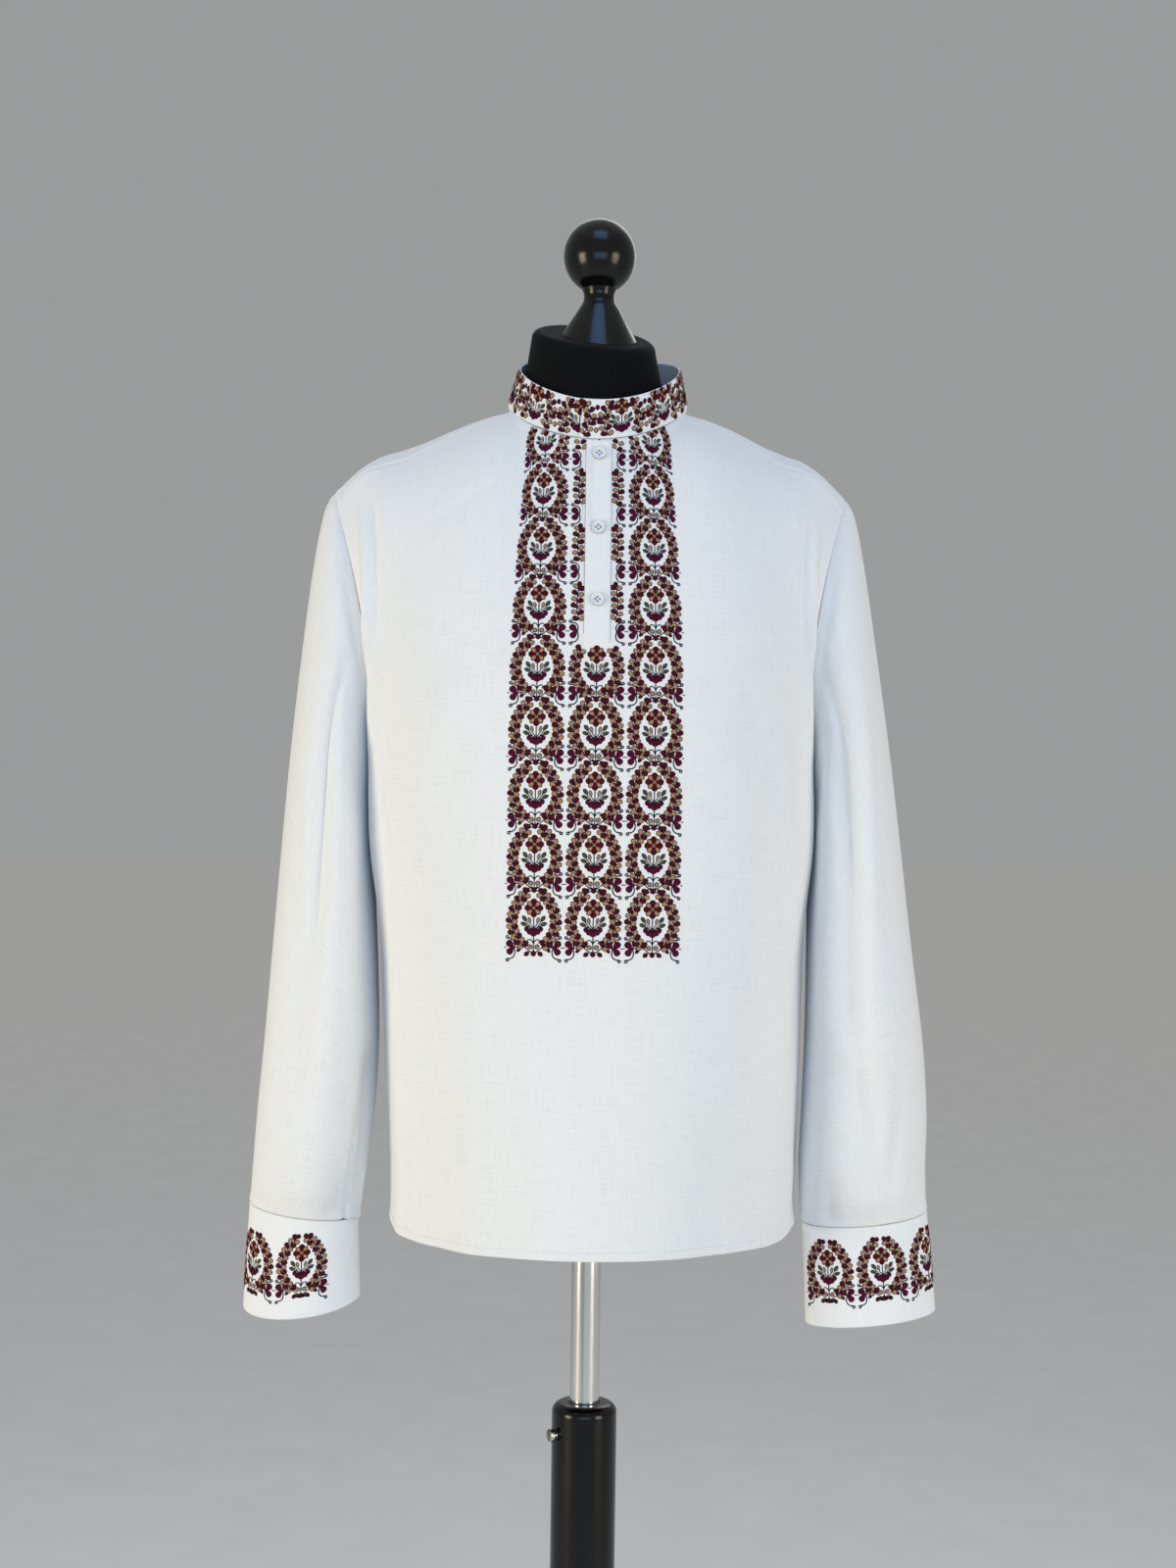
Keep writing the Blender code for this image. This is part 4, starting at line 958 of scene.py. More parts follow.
class Ground:
    """A cloth surface that stitches are laid on, found by lengths in metres along the cloth."""

    def __init__(self, points, normals, u, foot=0.0):
        """u rises along each row of points; v is measured up each column, less the foot."""
        self.foot = foot
        low, high = u[:, 0].max(), u[:, -1].min()
        across = np.arange(low, high, GROUND_STEP)
        both = np.concatenate([points, normals], axis=-1)
        columns = np.stack([
            np.stack([np.interp(across, line, part[:, k]) for k in range(6)], -1)
            for line, part in zip(u, both)
        ], axis=1)
        up = lengths_along(columns[..., :3])
        self.u0, self.across, self.tops = low, across, up[:, -1] - foot
        along = np.arange(0, up[:, -1].max(), GROUND_STEP)
        self.grid = np.stack([
            np.stack([np.interp(along, line, part[:, k]) for k in range(6)], -1)
            for line, part in zip(up, columns)
        ], axis=1)

    def top(self, u):
        """How far the cloth reaches up at u."""
        return np.interp(u, self.across, self.tops)

    def at(self, u, v, height):
        a = np.clip((np.asarray(v) + self.foot) / GROUND_STEP, 0, self.grid.shape[0] - 1.001)
        b = np.clip((np.asarray(u) - self.u0) / GROUND_STEP, 0, self.grid.shape[1] - 1.001)
        i, j = a.astype(int), b.astype(int)
        p, q = (a - i)[..., None], (b - j)[..., None]
        low = self.grid[i, j] * (1 - q) + self.grid[i, j + 1] * q
        high = self.grid[i + 1, j] * (1 - q) + self.grid[i + 1, j + 1] * q
        found = low * (1 - p) + high * p
        return found[..., :3] + unit(found[..., 3:]) * np.asarray(height)[..., None]


def smooth_line(points, pieces):
    """More points on a smooth curve through the given ones."""
    line = np.array(points, float)[:, None, :]
    if len(line) < 3:
        return line[:, 0]
    return curve_rows(line, np.linspace(0, len(line) - 1, (len(line) - 1) * pieces + 1))[:, 0]


class Pattern:
    """Raised stitches drawn flat in metres: across, up, and height off the cloth."""

    def __init__(self):
        self.parts = []

    def patch(self, x, y, length, width, degrees, colour, kind="oval", sides=11, rim=0.70,
              height=0.60):
        """A satin-stitched shape with a dark outline; sizes here are in millimetres."""
        turn = 2 * math.pi * np.arange(sides) / sides
        cosine, sine = np.cos(turn), np.sin(turn)
        if kind == "drop":
            flat = np.stack([length / 2 * cosine, width / 2 * sine * (1 - 0.48 * cosine)], -1)
        elif kind == "leaf":
            flat = np.stack([length / 2 * cosine, width / 2 * sine * np.abs(sine) ** 0.5], -1)
        else:
            flat = np.stack([length / 2 * cosine, width / 2 * sine], -1)
        edge = np.stack([cosine, sine], -1) * rim
        rings = [(flat + edge, RIM_FOOT), (flat + edge * 0.8, RIM_TOP)] if rim else []
        rings += [(flat, (RIM_STEP if rim else 0.0) + PATCH_EDGE), (flat * 0.55, height)]
        points = np.concatenate([np.column_stack([ring, np.full(sides, h)]) for ring, h in rings])
        points = np.vstack([points, (0, 0, height * 1.08)])
        faces, colours = [], []
        last = len(rings) * sides
        for ring in range(len(rings)):
            for k in range(sides):
                n = (k + 1) % sides
                a, b = ring * sides + k, ring * sides + n
                if ring == len(rings) - 1:
                    faces.append((a, b, last))
                else:
                    faces.append((a, b, b + sides, a + sides))
                colours.append("black" if rim and ring < 2 else colour)
        stitch = points[:, :2] + (x, y)
        angle = math.radians(degrees)
        rotate = np.array(((math.cos(angle), math.sin(angle)), (-math.sin(angle), math.cos(angle))))
        points[:, :2] = points[:, :2] @ rotate + (x, y)
        self.parts.append((points * MM, faces, colours, stitch * MM, (x * MM, y * MM)))

    def stroke(self, points, colour="black", width=1.0, height=0.42, pieces=3):
        """A corded line through points in millimetres."""
        line = smooth_line(points, pieces)
        ahead = np.gradient(line, axis=0)
        side = unit(np.stack([-ahead[:, 1], ahead[:, 0]], -1)) * width / 2
        count = len(line)
        stack = [(line + side, CORD_FOOT), (line, height), (line - side, CORD_FOOT)]
        made = np.concatenate([np.column_stack([part, np.full(count, h)]) for part, h in stack])
        length = lengths_along(line)
        stitch = np.stack([np.tile(length, 3), np.repeat((0, width / 2, width), count)], -1)
        faces = []
        for k in range(count - 1):
            for row in (0, count):
                faces.append((row + k + count, row + k + count + 1, row + k + 1, row + k))
        middle = line[count // 2] * MM
        self.parts.append((made * MM, faces, [colour] * len(faces), stitch * MM, tuple(middle)))

    def add(self, other, u=0.0, v=0.0, scale=1.0, keep=None):
        """Another pattern's parts, moved; keep(u, v) says which of them by their middles."""
        for points, faces, colours, stitch, middle in other.parts:
            middle = (middle[0] * scale + u, middle[1] * scale + v)
            if keep is None or keep(*middle):
                moved = points * (scale, scale, 1) + (u, v, 0)
                self.parts.append((moved, faces, colours, stitch, middle))


def sew(name, pattern, ground, threads=THREADS):
    """The pattern as one piece on a cloth surface."""
    order = list(threads)
    points, faces, colours, stitches = [], [], [], []
    start = 0
    for part, part_faces, part_colours, stitch, _ in pattern.parts:
        points.append(part)
        stitches.append(stitch)
        faces.extend(tuple(start + k for k in face) for face in part_faces)
        colours.extend(order.index(c) for c in part_colours)
        start += len(part)
    flat, stitches = np.concatenate(points), np.concatenate(stitches)
    corners = np.concatenate([np.array(face) for face in faces])
    placed = ground.at(flat[:, 0], flat[:, 1], flat[:, 2])
    return new_piece(name, placed, faces, [threads[c] for c in order], stitches[corners], colours)


def seam_stitches(pattern, points):
    """A row of machine stitches along a line of points in millimetres."""
    line = smooth_line(points, 1)
    run = lengths_along(line)
    for start in np.arange(STITCH_PITCH / 2, run[-1] - STITCH_LENGTH, STITCH_PITCH):
        ends = [[np.interp(at, run, line[:, k]) for k in (0, 1)]
                for at in (start, start + STITCH_LENGTH / 2, start + STITCH_LENGTH)]
        pattern.stroke(ends, "white", STITCH_WIDTH, STITCH_HEIGHT, pieces=1)


# ---------------------------------------------------------------- the embroidery's motifs
LEAF_TURN = 50          # degrees between a leaf and its stem
LEAF_STAGGER = 0.12     # how far a node's two leaves stand apart, in shares of the spacing
STEM_WIDTH, STEM_HEIGHT = 1.2, 0.34
LEAVES = {"red": (4.7, 3.4, 0.48), "tan": (4.1, 2.8, 0.62)}     # length, width and rim


def mirrored(points, side):
    """Points given for the right side, on either side of a motif."""
    return [(side * x, y) for x, y in points]


def branch(pattern, path, spacing, side, start, end, reach=2.2, full=1.0):
    """A leafy branch: a stem along a path with a pair of leaves at every node.

    Its leaves' colours take turns; side is -1 where a red one comes first.
    """
    colours = ("red", "tan") if side < 0 else ("tan", "red")
    line = smooth_line(path, 6)
    run = lengths_along(line)
    ahead = np.gradient(line, axis=0)
    pattern.stroke(line[::3], "black", STEM_WIDTH, STEM_HEIGHT, pieces=1)
    count = max(round((run[-1] * (end - start)) / spacing), 1)
    for k in range(count + 1):
        for hand in (-1, 1):
            at = run[-1] * (start + (end - start) * k / count) + LEAF_STAGGER * spacing * hand
            x, y, dx, dy = (np.interp(at, run, part) for part in (*line.T, *ahead.T))
            heading = math.degrees(math.atan2(dy, dx))
            normal = math.radians(heading + 90 * hand)
            colour = colours[(k + (hand > 0)) % 2]
            length, width, rim = LEAVES[colour]
            pattern.patch(
                x + reach * math.cos(normal), y + reach * math.sin(normal),
                length * full, width * full, heading + hand * LEAF_TURN + 180, colour, "drop",
                rim=rim)


FLOWER_Y, PETAL_REACH = 10, 4.2
# The flower's petals: their first angle, length, width, colour and rim.
PETALS = ((45, 3.8, 2.7, "tan", 0.80), (0, 5.1, 4.3, "red", 0.62))
SPRIG_STALKS = (
    ((0, -6.6), (2.6, -4.9), (6.4, 0.4)),
    ((2.4, -5.0), (4.6, -4.0), (6.4, -3.2)),
    ((0, -5.4), (1.9, -3.4), (3.0, -1.2)),
)
SPRIG_LEAVES = (
    (7.1, 1.9, 4.4, 2.2, -38, "green", "leaf", 0.62),
    (7.7, -2.3, 4.2, 2.1, -68, "green", "leaf", 0.62),
    (3.3, 0.6, 3.8, 1.8, -12, "tan", "leaf", 0.60),
    (5.3, -6.2, 3.3, 2.9, -24, "plum", "oval", 0.62),
    (3.0, -8.2, 3.6, 3.2, 50, "plum", "oval", 0.62),
)


def leaves(pattern, side, rows):
    """Patches that lean to one side: place, size, lean from upright, colour, kind and rim."""
    for x, y, length, width, lean, colour, kind, rim in rows:
        pattern.patch(side * x, y, length, width, 90 + side * lean, colour, kind, rim=rim)


def sprig(pattern):
    """A flower on a stem with grey-green leaves over a plum bowl."""
    for first, length, width, colour, rim in PETALS:
        for degrees in range(first, first + 360, 90):
            angle = math.radians(degrees)
            pattern.patch(PETAL_REACH * math.cos(angle), FLOWER_Y + PETAL_REACH * math.sin(angle),
                          length, width, degrees, colour, rim=rim)
    pattern.patch(0, FLOWER_Y, 1.9, 1.9, 45, "tan", sides=8, rim=0.45, height=0.75)
    pattern.stroke([(0, 3), (0, -4), (0, -12)], width=1.1)
    for side, _ in SIDES:
        for points in SPRIG_STALKS:
            pattern.stroke(mirrored(points, side), width=1.0, pieces=2)
        leaves(pattern, side, SPRIG_LEAVES)
    pattern.patch(0, -9.3, 4.4, 3.6, 0, "plum", sides=12)
    for side, _ in SIDES:
        leaves(pattern, side, [(1.7, -6.6, 2.4, 2.0, -30, "red", "oval", 0.60)])


def hook(pattern, x, y, turn, side):
    """A small curled end of a tendril."""
    points = [(x + side * math.cos(math.radians(a)), y + turn * math.sin(math.radians(a)))
              for a in (-110, -50, 20, 100, 180, 250)]
    pattern.stroke(points, width=1.3, pieces=2)


STALK_LEAVES = (
    (11.4, -23.6, 3.6, 2.0, 40, "plum", "leaf", 0.6),
    (12.0, -18.9, 3.2, 1.8, -50, "plum", "leaf", 0.6),
)
UPPER_TENDRIL = ((20.1, -15.0), (17.6, -15.1), (15.6, -16.2), (14.4, -18.8), (15.0, -22.0))
LOWER_TENDRIL = ((15.0, -22.4), (14.3, -25.4), (15.0, -28.4), (17.0, -30.2), (19.9, -30.6))


def wings(pattern, side, stalk=True):
    """Half a butterfly with its curls, at the lower corner of a medallion."""
    made = Pattern()
    if stalk:
        made.stroke(mirrored(((7.4, -19.4), (11.0, -21.0), (15.0, -22.0)), side), width=1.3)
        leaves(made, side, STALK_LEAVES)
    made.patch(side * 18.1, -19.5, 6.0, 4.2, 90 - side * 42 + 180, "plum", "drop", 14, 0.55)
    made.patch(side * 17.9, -24.5, 5.6, 3.9, -90 + side * 42 + 180, "plum", "drop", 14, 0.55)
    made.patch(side * 15.9, -22.0, 1.8, 2.0, 0, "plum", sides=8, rim=0.4)
    made.stroke(mirrored(UPPER_TENDRIL, side), width=1.25)
    hook(made, side * 20.3, -14.0, 1, side)
    made.stroke(mirrored(LOWER_TENDRIL, side), width=1.25)
    hook(made, side * 20.1, -31.6, -1, side)
    made.stroke(mirrored(((20.9, -22.0), (21.8, -21.7), (22.8, -22.0)), side), width=0.9)
    pattern.add(made, 0, 0.0016)


WREATH_STEPS = (0.012, 0.09, 0.18, 0.28, 0.39, 0.50, 0.61, 0.72, 0.82, 0.90, 0.965, 0.995)
WREATH_ENDS = {"crossed": (12, 0.92), "closed": (11, 0.99), "open": (9, 0.97)}
WREATH_HALF_WIDTH, WREATH_FOOT, WREATH_TOP = 17.0, -24.9, 23.5
SPRIG_ROOT = ((0, -17.0), (1.6, -14.6), (3.8, -14.2), (4.7, -15.8), (3.6, -16.6))


def wreath_side(side, steps):
    """One side of an egg-shaped wreath, pointed at its foot and round at its top."""
    return [(side * WREATH_HALF_WIDTH * math.sin(math.pi * t) ** (0.84 - 0.29 * t),
             WREATH_FOOT + (WREATH_TOP - WREATH_FOOT) * t) for t in steps]


def medallion(kind="crossed"):
    """Two leafy branches round a flower sprig: crossed into the wreath above, closed or open."""
    made = Pattern()
    count, end = WREATH_ENDS[kind]
    for side, _ in SIDES:
        branch(made, wreath_side(side, WREATH_STEPS[:count]), 4.35, side, 0.15, end)
        leaves(made, side, [(2.7, -19.6, 2.8, 2.4, -52, "tan", "oval", 0.75)])
        made.patch(side * 5.2, -25.0, 3.8, 2.6, -side * 38, "red", "leaf", rim=0.6)
        made.stroke(mirrored(SPRIG_ROOT, side), width=1.1)
        if kind == "crossed":
            made.stroke([(side * 1.2, 23.4), (-side * 2.6, 26.4)], width=1.5)
        if kind == "closed":
            made.patch(side * 3.4, 23.6, 3.8, 2.8, 90 + side * 64 + 180, "red", "drop", rim=0.6)
            made.patch(side * 2.4, -25.2, 3.4, 1.8, side * 30, "black", "leaf", rim=0.5)
        wings(made, side)
    sprig(made)
    made.stroke([(0, -12), (0, -18), (0, -23.0)], width=1.1)
    made.patch(0, -24.8, 3.4, 3.2, 90, "red", sides=10, rim=0.6)
    return made


TWIG = ((13.9, -11.0), (14.9, -7.0), (15.6, -2.0), (15.5, 5.0), (14.9, 11.0), (14.0, 17.0))
BOWED = ((9.4, -13.6), (7.6, -8.6), (5.4, -2.6), (5.5, 3.4), (7.6, 8.6), (10.6, 12.6))


def twig():
    """The short leafy twigs either side of the placket, with their half butterflies."""
    made = Pattern()
    for side, _ in SIDES:
        branch(made, mirrored(TWIG, side), 4.7, -side, 0.03, 0.92, reach=2.35)
        made.patch(side * 13.9, 17.6, 3.9, 2.9, 90, "red", rim=0.6)
        wings(made, side, stalk=False)
    return made


# ---------------------------------------------------------------- the body's panels
EMBROIDERY_FOOT_Z = 1.0038     # the height on the front's middle line where v is 0
HEM_FOLD, HEM_FOLD_EASE, HEM_THICKENING = 0.0074, 0.0006, 0.0007
HEM_STITCH, HEM_STITCH_DEPTH, STITCH_GROOVE_WIDTH = 0.0068, 0.0006, 0.0005
PUCKER_PITCH, PUCKER_REACH, PUCKER_HEIGHT = 0.0087, 0.0035, 0.00022
PUCKER_DRIFT, PUCKER_DRIFT_RATE = 2.2, 31      # so that the puckers' pitch varies
SEAM_LIP_AT, SEAM_LIP_WIDTH, SEAM_VALLEY_WIDTH = 0.0045, 0.0028, 0.0016
SIDE_FADE, TOP_FADE = 0.09, 0.2     # folds fade over this share of s and r at the seams
# Close rows and columns near a panel's edges, and the spacing of its coarse ones.
HEM_ROWS_MM = (0, 0.15, 0.5, 1.2, 2.5, 4.5, 6.0, 6.6, 7.2, 7.8, 8.6, 11, 15)
TOP_ROWS_MM = (4.5, 3.0, 1.8, 1.0, 0.5, 0.15, 0)
SIDE_COLUMNS_MM = (0, 0.15, 0.5, 1.1, 2.0, 3.5)
LOWER_ROW_MM, UPPER_ROW_MM, COLUMN_MM = 38.4, 27, 20.8
STITCH_AND_SHADOW_THREADS = {"white": SEWING_THREAD, "grey": EDGE_SHADOW_THREAD}


def valley(distance, depth=0.0009, lip=0.00035):
    """Cloth turned in at a seam, with a soft lip beside it."""
    return (lip * groove(distance - SEAM_LIP_AT, SEAM_LIP_WIDTH)
            - depth * groove(distance, SEAM_VALLEY_WIDTH))


def panel(back):
    """The outer face of the front or back and its normals, with each point's u and v."""
    rows = np.concatenate([
        np.array(HEM_ROWS_MM) / LOWER_ROW_MM,
        np.linspace(0.55, LAST_ROW - 0.25, 142),
        LAST_ROW - np.array(TOP_ROWS_MM) / UPPER_ROW_MM,
    ])
    near = np.array(SIDE_COLUMNS_MM) / COLUMN_MM
    columns = [near, np.linspace(0.28, LAST_COLUMN - 0.28, 154), LAST_COLUMN - near[::-1]]
    columns = np.concatenate(columns)
    smooth = refined(body_grid(back), rows, columns)
    normals = facing_normals(smooth, back)
    s = np.interp(columns, np.arange(LAST_COLUMN + 1), panel_columns())[None, :]
    r = np.interp(rows, np.arange(LAST_ROW + 1), panel_rows())[:, None]
    name = "back" if back else "front"
    folds = [f for f in BODY_FOLDS + FINE_BODY_FOLDS if f.panel == name]
    height = fold_height(folds, s + 0 * r, smooth[..., 2])
    height *= smoothstep((1 - np.abs(s)) / SIDE_FADE) * smoothstep((2 - r) / TOP_FADE)
    across, hem = runs(smooth)
    side, top = np.minimum(across, across[:, -1:] - across), hem[-1:] - hem
    height += valley(side, 0.0004) + valley(top)
    height += HEM_THICKENING * (1 - smoothstep((hem - HEM_FOLD) / HEM_FOLD_EASE))
    height -= HEM_STITCH_DEPTH * groove(hem - HEM_STITCH, STITCH_GROOVE_WIDTH)
    drift = PUCKER_DRIFT * np.sin(across * PUCKER_DRIFT_RATE)
    pucker = np.sin(across * 2 * math.pi / PUCKER_PITCH + drift)
    height += PUCKER_HEIGHT * pucker * groove(hem - HEM_STITCH, PUCKER_REACH)
    point = smooth + normals * height[..., None]
    normals = facing_normals(point, back)
    return point + normals * (CLOTH / 2), normals


def cloth_piece(name, outer, normals, thickness, finish, **more):
    """A thin shell below an outer face, thinner right at its edges."""
    edge = edge_distance(outer, more.get("closed"))
    half = rounded(edge, thickness, thickness * 0.7)[..., None]
    middle = outer - normals * (thickness / 2)
    return shell(name, middle + normals * half, middle - normals * half, finish, **more)


def centred_lengths(outer):
    across = lengths_along(outer)
    return across - across[:, [outer.shape[1] // 2]]


GROUND_COLUMNS = 40     # columns either side of the middle that the embroidery may lie on


def make_front():
    """The slit front: its piece, face and normals, the ground for stitches, and v by height."""
    outer, normals = panel(False)
    middle = outer.shape[1] // 2
    centre = outer[:, middle, 2]
    # Two columns of points stand at the slit's lips instead of one in the middle.
    lips = []
    for side, _ in SIDES:
        share = (SLIT_GAP / np.abs(outer[:, middle + side, 0] - outer[:, middle, 0]))[:, None]
        lips.append([
            part[:, middle] * (1 - share) + part[:, middle + side] * share
            for part in (outer, normals)
        ])
    slit = [
        np.concatenate([part[:, :middle], lips[0][k][:, None], lips[1][k][:, None],
                        part[:, middle + 1:]], axis=1)
        for k, part in enumerate((outer, normals))
    ]
    cells = np.zeros((outer.shape[0] - 1, outer.shape[1]), bool)
    cells[centre[:-1] > SLIT_BOTTOM, middle] = True
    made = cloth_piece("shirt_front", slit[0], slit[1], SHOWN_CLOTH, COTTON, cut=cells)
    near = slice(middle - GROUND_COLUMNS, middle + GROUND_COLUMNS + 1)
    u = centred_lengths(outer)[:, near]
    up = lengths_along(outer[:, middle])
    foot = np.interp(EMBROIDERY_FOOT_Z, centre, up)
    ground = Ground(outer[:, near], normals[:, near], u, foot)

    def height_of(z):
        return np.interp(z, centre, up) - foot
    return made, outer, normals, ground, height_of


HEM_GROUND_ROWS, HEM_STITCH_MARGIN_MM, HEM_STITCH_POINTS = 40, 3, 60


def hem_stitches(name, outer, normals):
    """The hem's machine stitches along the panel's bottom."""
    pattern = Pattern()
    outer, normals = outer[:HEM_GROUND_ROWS], normals[:HEM_GROUND_ROWS]
    u = centred_lengths(outer)
    ends = (u[:, 0].max() * 1000 + HEM_STITCH_MARGIN_MM,
            u[:, -1].min() * 1000 - HEM_STITCH_MARGIN_MM)
    line = [(x, HEM_STITCH * 1000) for x in np.linspace(*ends, HEM_STITCH_POINTS)]
    seam_stitches(pattern, line)
    return sew(name, pattern, Ground(outer, normals, u), STITCH_AND_SHADOW_THREADS)


# ---------------------------------------------------------------- bands
COLLAR_HEIGHT, COLLAR_STEP, COLLAR_COLUMNS = 0.0325, 0.0014, 330
CUFF_HEIGHT, CUFF_STEP, CUFF_COLUMNS = 0.0815, 0.0030, 210
SLEEVE_LENGTH, SLEEVE_STEP, SLEEVE_SEGMENTS = 0.65, 0.0056, 132
# The sleeve's gathered cloth swells just above its cuff and creases at the seam.
CUFF_SWELL, CUFF_SWELL_AT, CUFF_SWELL_WIDTH = 0.0008, 0.0026, 0.0028
CUFF_CREASE, CUFF_CREASE_WIDTH = 0.0004, 0.0008
TUCK_SINK = 0.0005
BAND_FOLD = 0.0011
BAND_GROOVE_DEPTH, BAND_GROOVE_INSET, BAND_GROOVE_WIDTH = 0.00022, 0.0048, 0.0006


def band(name, grid, normals):
    """A two-layer band about a middle surface, rounded where it is folded at its edges."""
    half = normals * rounded(edge_distance(grid), BAND_CLOTH, BAND_FOLD)[..., None]
    return shell(name, grid + half, grid - half, BAND_COTTON), grid + half


def band_relief(grid, normals):
    """A stitched groove a little way inside a band's edges."""
    depth = BAND_GROOVE_DEPTH * groove(edge_distance(grid) - BAND_GROOVE_INSET, BAND_GROOVE_WIDTH)
    return grid - normals * depth[..., None]


def make_collar():
    """The standing collar, the ground for its stitches, and the length once round it."""
    shares = edged(COLLAR_HEIGHT, COLLAR_STEP)
    grid = lapped_grid(collar_ring, COLLAR_LAP, shares, COLLAR_COLUMNS)
    normals = grid_normals(grid)
    made, outer = band("shirt_collar", grid, normals)
    middle = len(shares) // 2
    run = lengths_along(outer[middle])
    angles = spread(-COLLAR_LAP, 2 * math.pi + COLLAR_LAP, COLLAR_COLUMNS)
    run = run - np.interp(0, angles, run)
    whole = float(np.interp(2 * math.pi, angles, run))
    return made, Ground(outer, normals, np.tile(run, (len(shares), 1))), whole


def make_cuff(side, word):
    """A cuff, the ground for its stitches, and the length along it by angle."""
    shares = 1 - edged(CUFF_HEIGHT, CUFF_STEP)
    grid = lapped_grid(cuff_ring(side), CUFF_LAP, shares, CUFF_COLUMNS)
    angles = CUFF_BUTTON_ANGLE + spread(-CUFF_LAP, 2 * math.pi + CUFF_LAP, CUFF_COLUMNS)
    if side > 0:
        grid, angles = grid[:, ::-1], angles[::-1]
    normals = grid_normals(grid)
    grid = band_relief(grid, normals)
    made, outer = band("shirt_cuff_" + word, grid, normals)
    run = lengths_along(outer[len(shares) // 2])
    ground = Ground(outer, normals, np.tile(run, (len(shares), 1)))

    def along(degrees):
        """The length along the band at an angle round the arm, 90 degrees at the front."""
        turn = math.radians(degrees)
        low = min(angles[0], angles[-1])
        turn = low + (turn - low) % (2 * math.pi)
        return float(np.interp(turn, angles if side < 0 else angles[::-1],
                               run if side < 0 else run[::-1]))
    return made, ground, along


def tuck(outer, normals, edge, within, reach):
    """Push an edge on under the piece it is sewn to, so that no dark slit shows at the seam."""
    ahead = outer[edge] - outer[within]
    ahead /= np.linalg.norm(ahead, axis=1, keepdims=True)
    outer[edge] += ahead * reach - normals[edge] * TUCK_SINK


def make_sleeve(side, word):
    shares = 1 - edged(SLEEVE_LENGTH, SLEEVE_STEP)
    turn = 2 * math.pi * np.arange(SLEEVE_SEGMENTS) / SLEEVE_SEGMENTS
    if side > 0:
        turn = turn[::-1]
    grid = sleeve_grid(side, shares, turn)
    normals = grid_normals(grid, closed=True)
    up = runs(grid)[1]
    height = valley(up[-1:] - up, 0.0003, lip=0.0006)
    height += CUFF_SWELL * groove(up - CUFF_SWELL_AT, CUFF_SWELL_WIDTH)
    height -= CUFF_CREASE * groove(up, CUFF_CREASE_WIDTH)
    point = grid + normals * height[..., None]
    normals = grid_normals(point, closed=True)
    outer = point + normals * (CLOTH / 2)
    tuck(outer, normals, 0, 2, 0.0011)
    tuck(outer, normals, -1, -3, 0.0009)
    return cloth_piece("shirt_sleeve_" + word, outer, normals, SHOWN_CLOTH, COTTON, closed=True)


PLACKET_RISE, PLACKET_ROUND, PLACKET_STITCH_LIFT = 0.0014, 0.0012, 0.0012
PLACKET_STAND_OFF, PLACKET_STITCH_INSET, PLACKET_STITCH_DEPTH = 0.0004, 0.0022, 0.00025
# The waves of its free edge: height, how far down it lies and its width.
PLACKET_WAVES = ((0.0024, 0.026, 0.012), (0.0017, 0.066, 0.018))
# Heights off the front: the placket's back, and both faces of the band behind the slit.
PLACKET_INNER, UNDER_OUTER, UNDER_INNER = -0.0002, -CLOTH - 0.0004, -CLOTH - 0.0014
# The painted shadow along its left edge, laid as a grey cord: from and to a share of its length,
# with its width in mm.
EDGE_SHADOW_LINES = ((0.03, 0.30, 0.5), (0.28, 0.66, 0.8), (0.64, 1.0, 1.0))


def make_placket(ground, height_of):
    """The stitched band over the slit, its edges folded under, and the plain band behind it."""
    bottom, top = height_of(PLACKET_BOTTOM), height_of(PLACKET_TOP)
    across = (edged(2 * PLACKET_HALF_WIDTH, 0.0016) * 2 - 1) * PLACKET_HALF_WIDTH
    along = bottom + edged(top - bottom, 0.0025) * (top - bottom)
    u, v = np.meshgrid(across, along)
    edge = np.minimum(PLACKET_HALF_WIDTH - np.abs(u), np.minimum(v - bottom, top - v))
    share = np.clip(edge / PLACKET_ROUND, 0, 1)
    height = PLACKET_RISE * np.sqrt(np.maximum(1 - (1 - share) ** 2, 0.01))
    # Its free left edge stands off the front in two soft waves.
    (first, first_at, first_width), (second, second_at, second_width) = PLACKET_WAVES
    wave = first * groove(top - v - first_at, first_width)
    wave += second * groove(top - v - second_at, second_width) + PLACKET_STAND_OFF
    height += wave * smoothstep((-u - 0.003) / 0.007) * smoothstep((v - bottom) / 0.02)
    height -= PLACKET_STITCH_DEPTH * groove(edge - PLACKET_STITCH_INSET, STITCH_GROOVE_WIDTH)
    outer = ground.at(u, v, height)
    inner = ground.at(u, v, np.full_like(u, PLACKET_INNER))
    upper = shell("shirt_placket", outer, inner, BAND_COTTON)
    u, v = np.meshgrid(spread(-PLACKET_HALF_WIDTH, PLACKET_HALF_WIDTH, 8),
                       spread(bottom + 0.004, top, 50))
    under = shell("shirt_placket_under", ground.at(u, v, np.full_like(u, UNDER_OUTER)),
                  ground.at(u, v, np.full_like(u, UNDER_INNER)), BAND_COTTON)
    pattern, lift = Pattern(), Pattern()
    half, low, high = PLACKET_HALF_WIDTH * 1000 - 2.2, bottom * 1000 + 2.2, top * 1000
    seam_stitches(lift, [(-half, high), (-half, low), (half, low), (half, high)])
    seam_stitches(lift, [(-half, low + 8), (half, low + 8)])
    for part in lift.parts:
        part[0][:, 2] += PLACKET_STITCH_LIFT
    pattern.add(lift)
    # Painted shadow: grey cords along the placket's left edge, where it stands off the front.
    half += 2.3
    for start, end, width in EDGE_SHADOW_LINES:
        pattern.stroke([(-half - 0.1, low + (high - low) * share) for share in
                        np.linspace(start, end, 14)], "grey", width, 0.25, pieces=1)
    # Painted shadow: a thin grey cord along the placket's right edge.
    pattern.stroke([(half, low + (high - low) * share) for share in
                    np.linspace(0.0, 1.0, 20)], "grey", 0.35, 0.2, pieces=1)
    return upper, under, sew("placket_stitches_and_shadows", pattern, ground, STITCH_AND_SHADOW_THREADS)


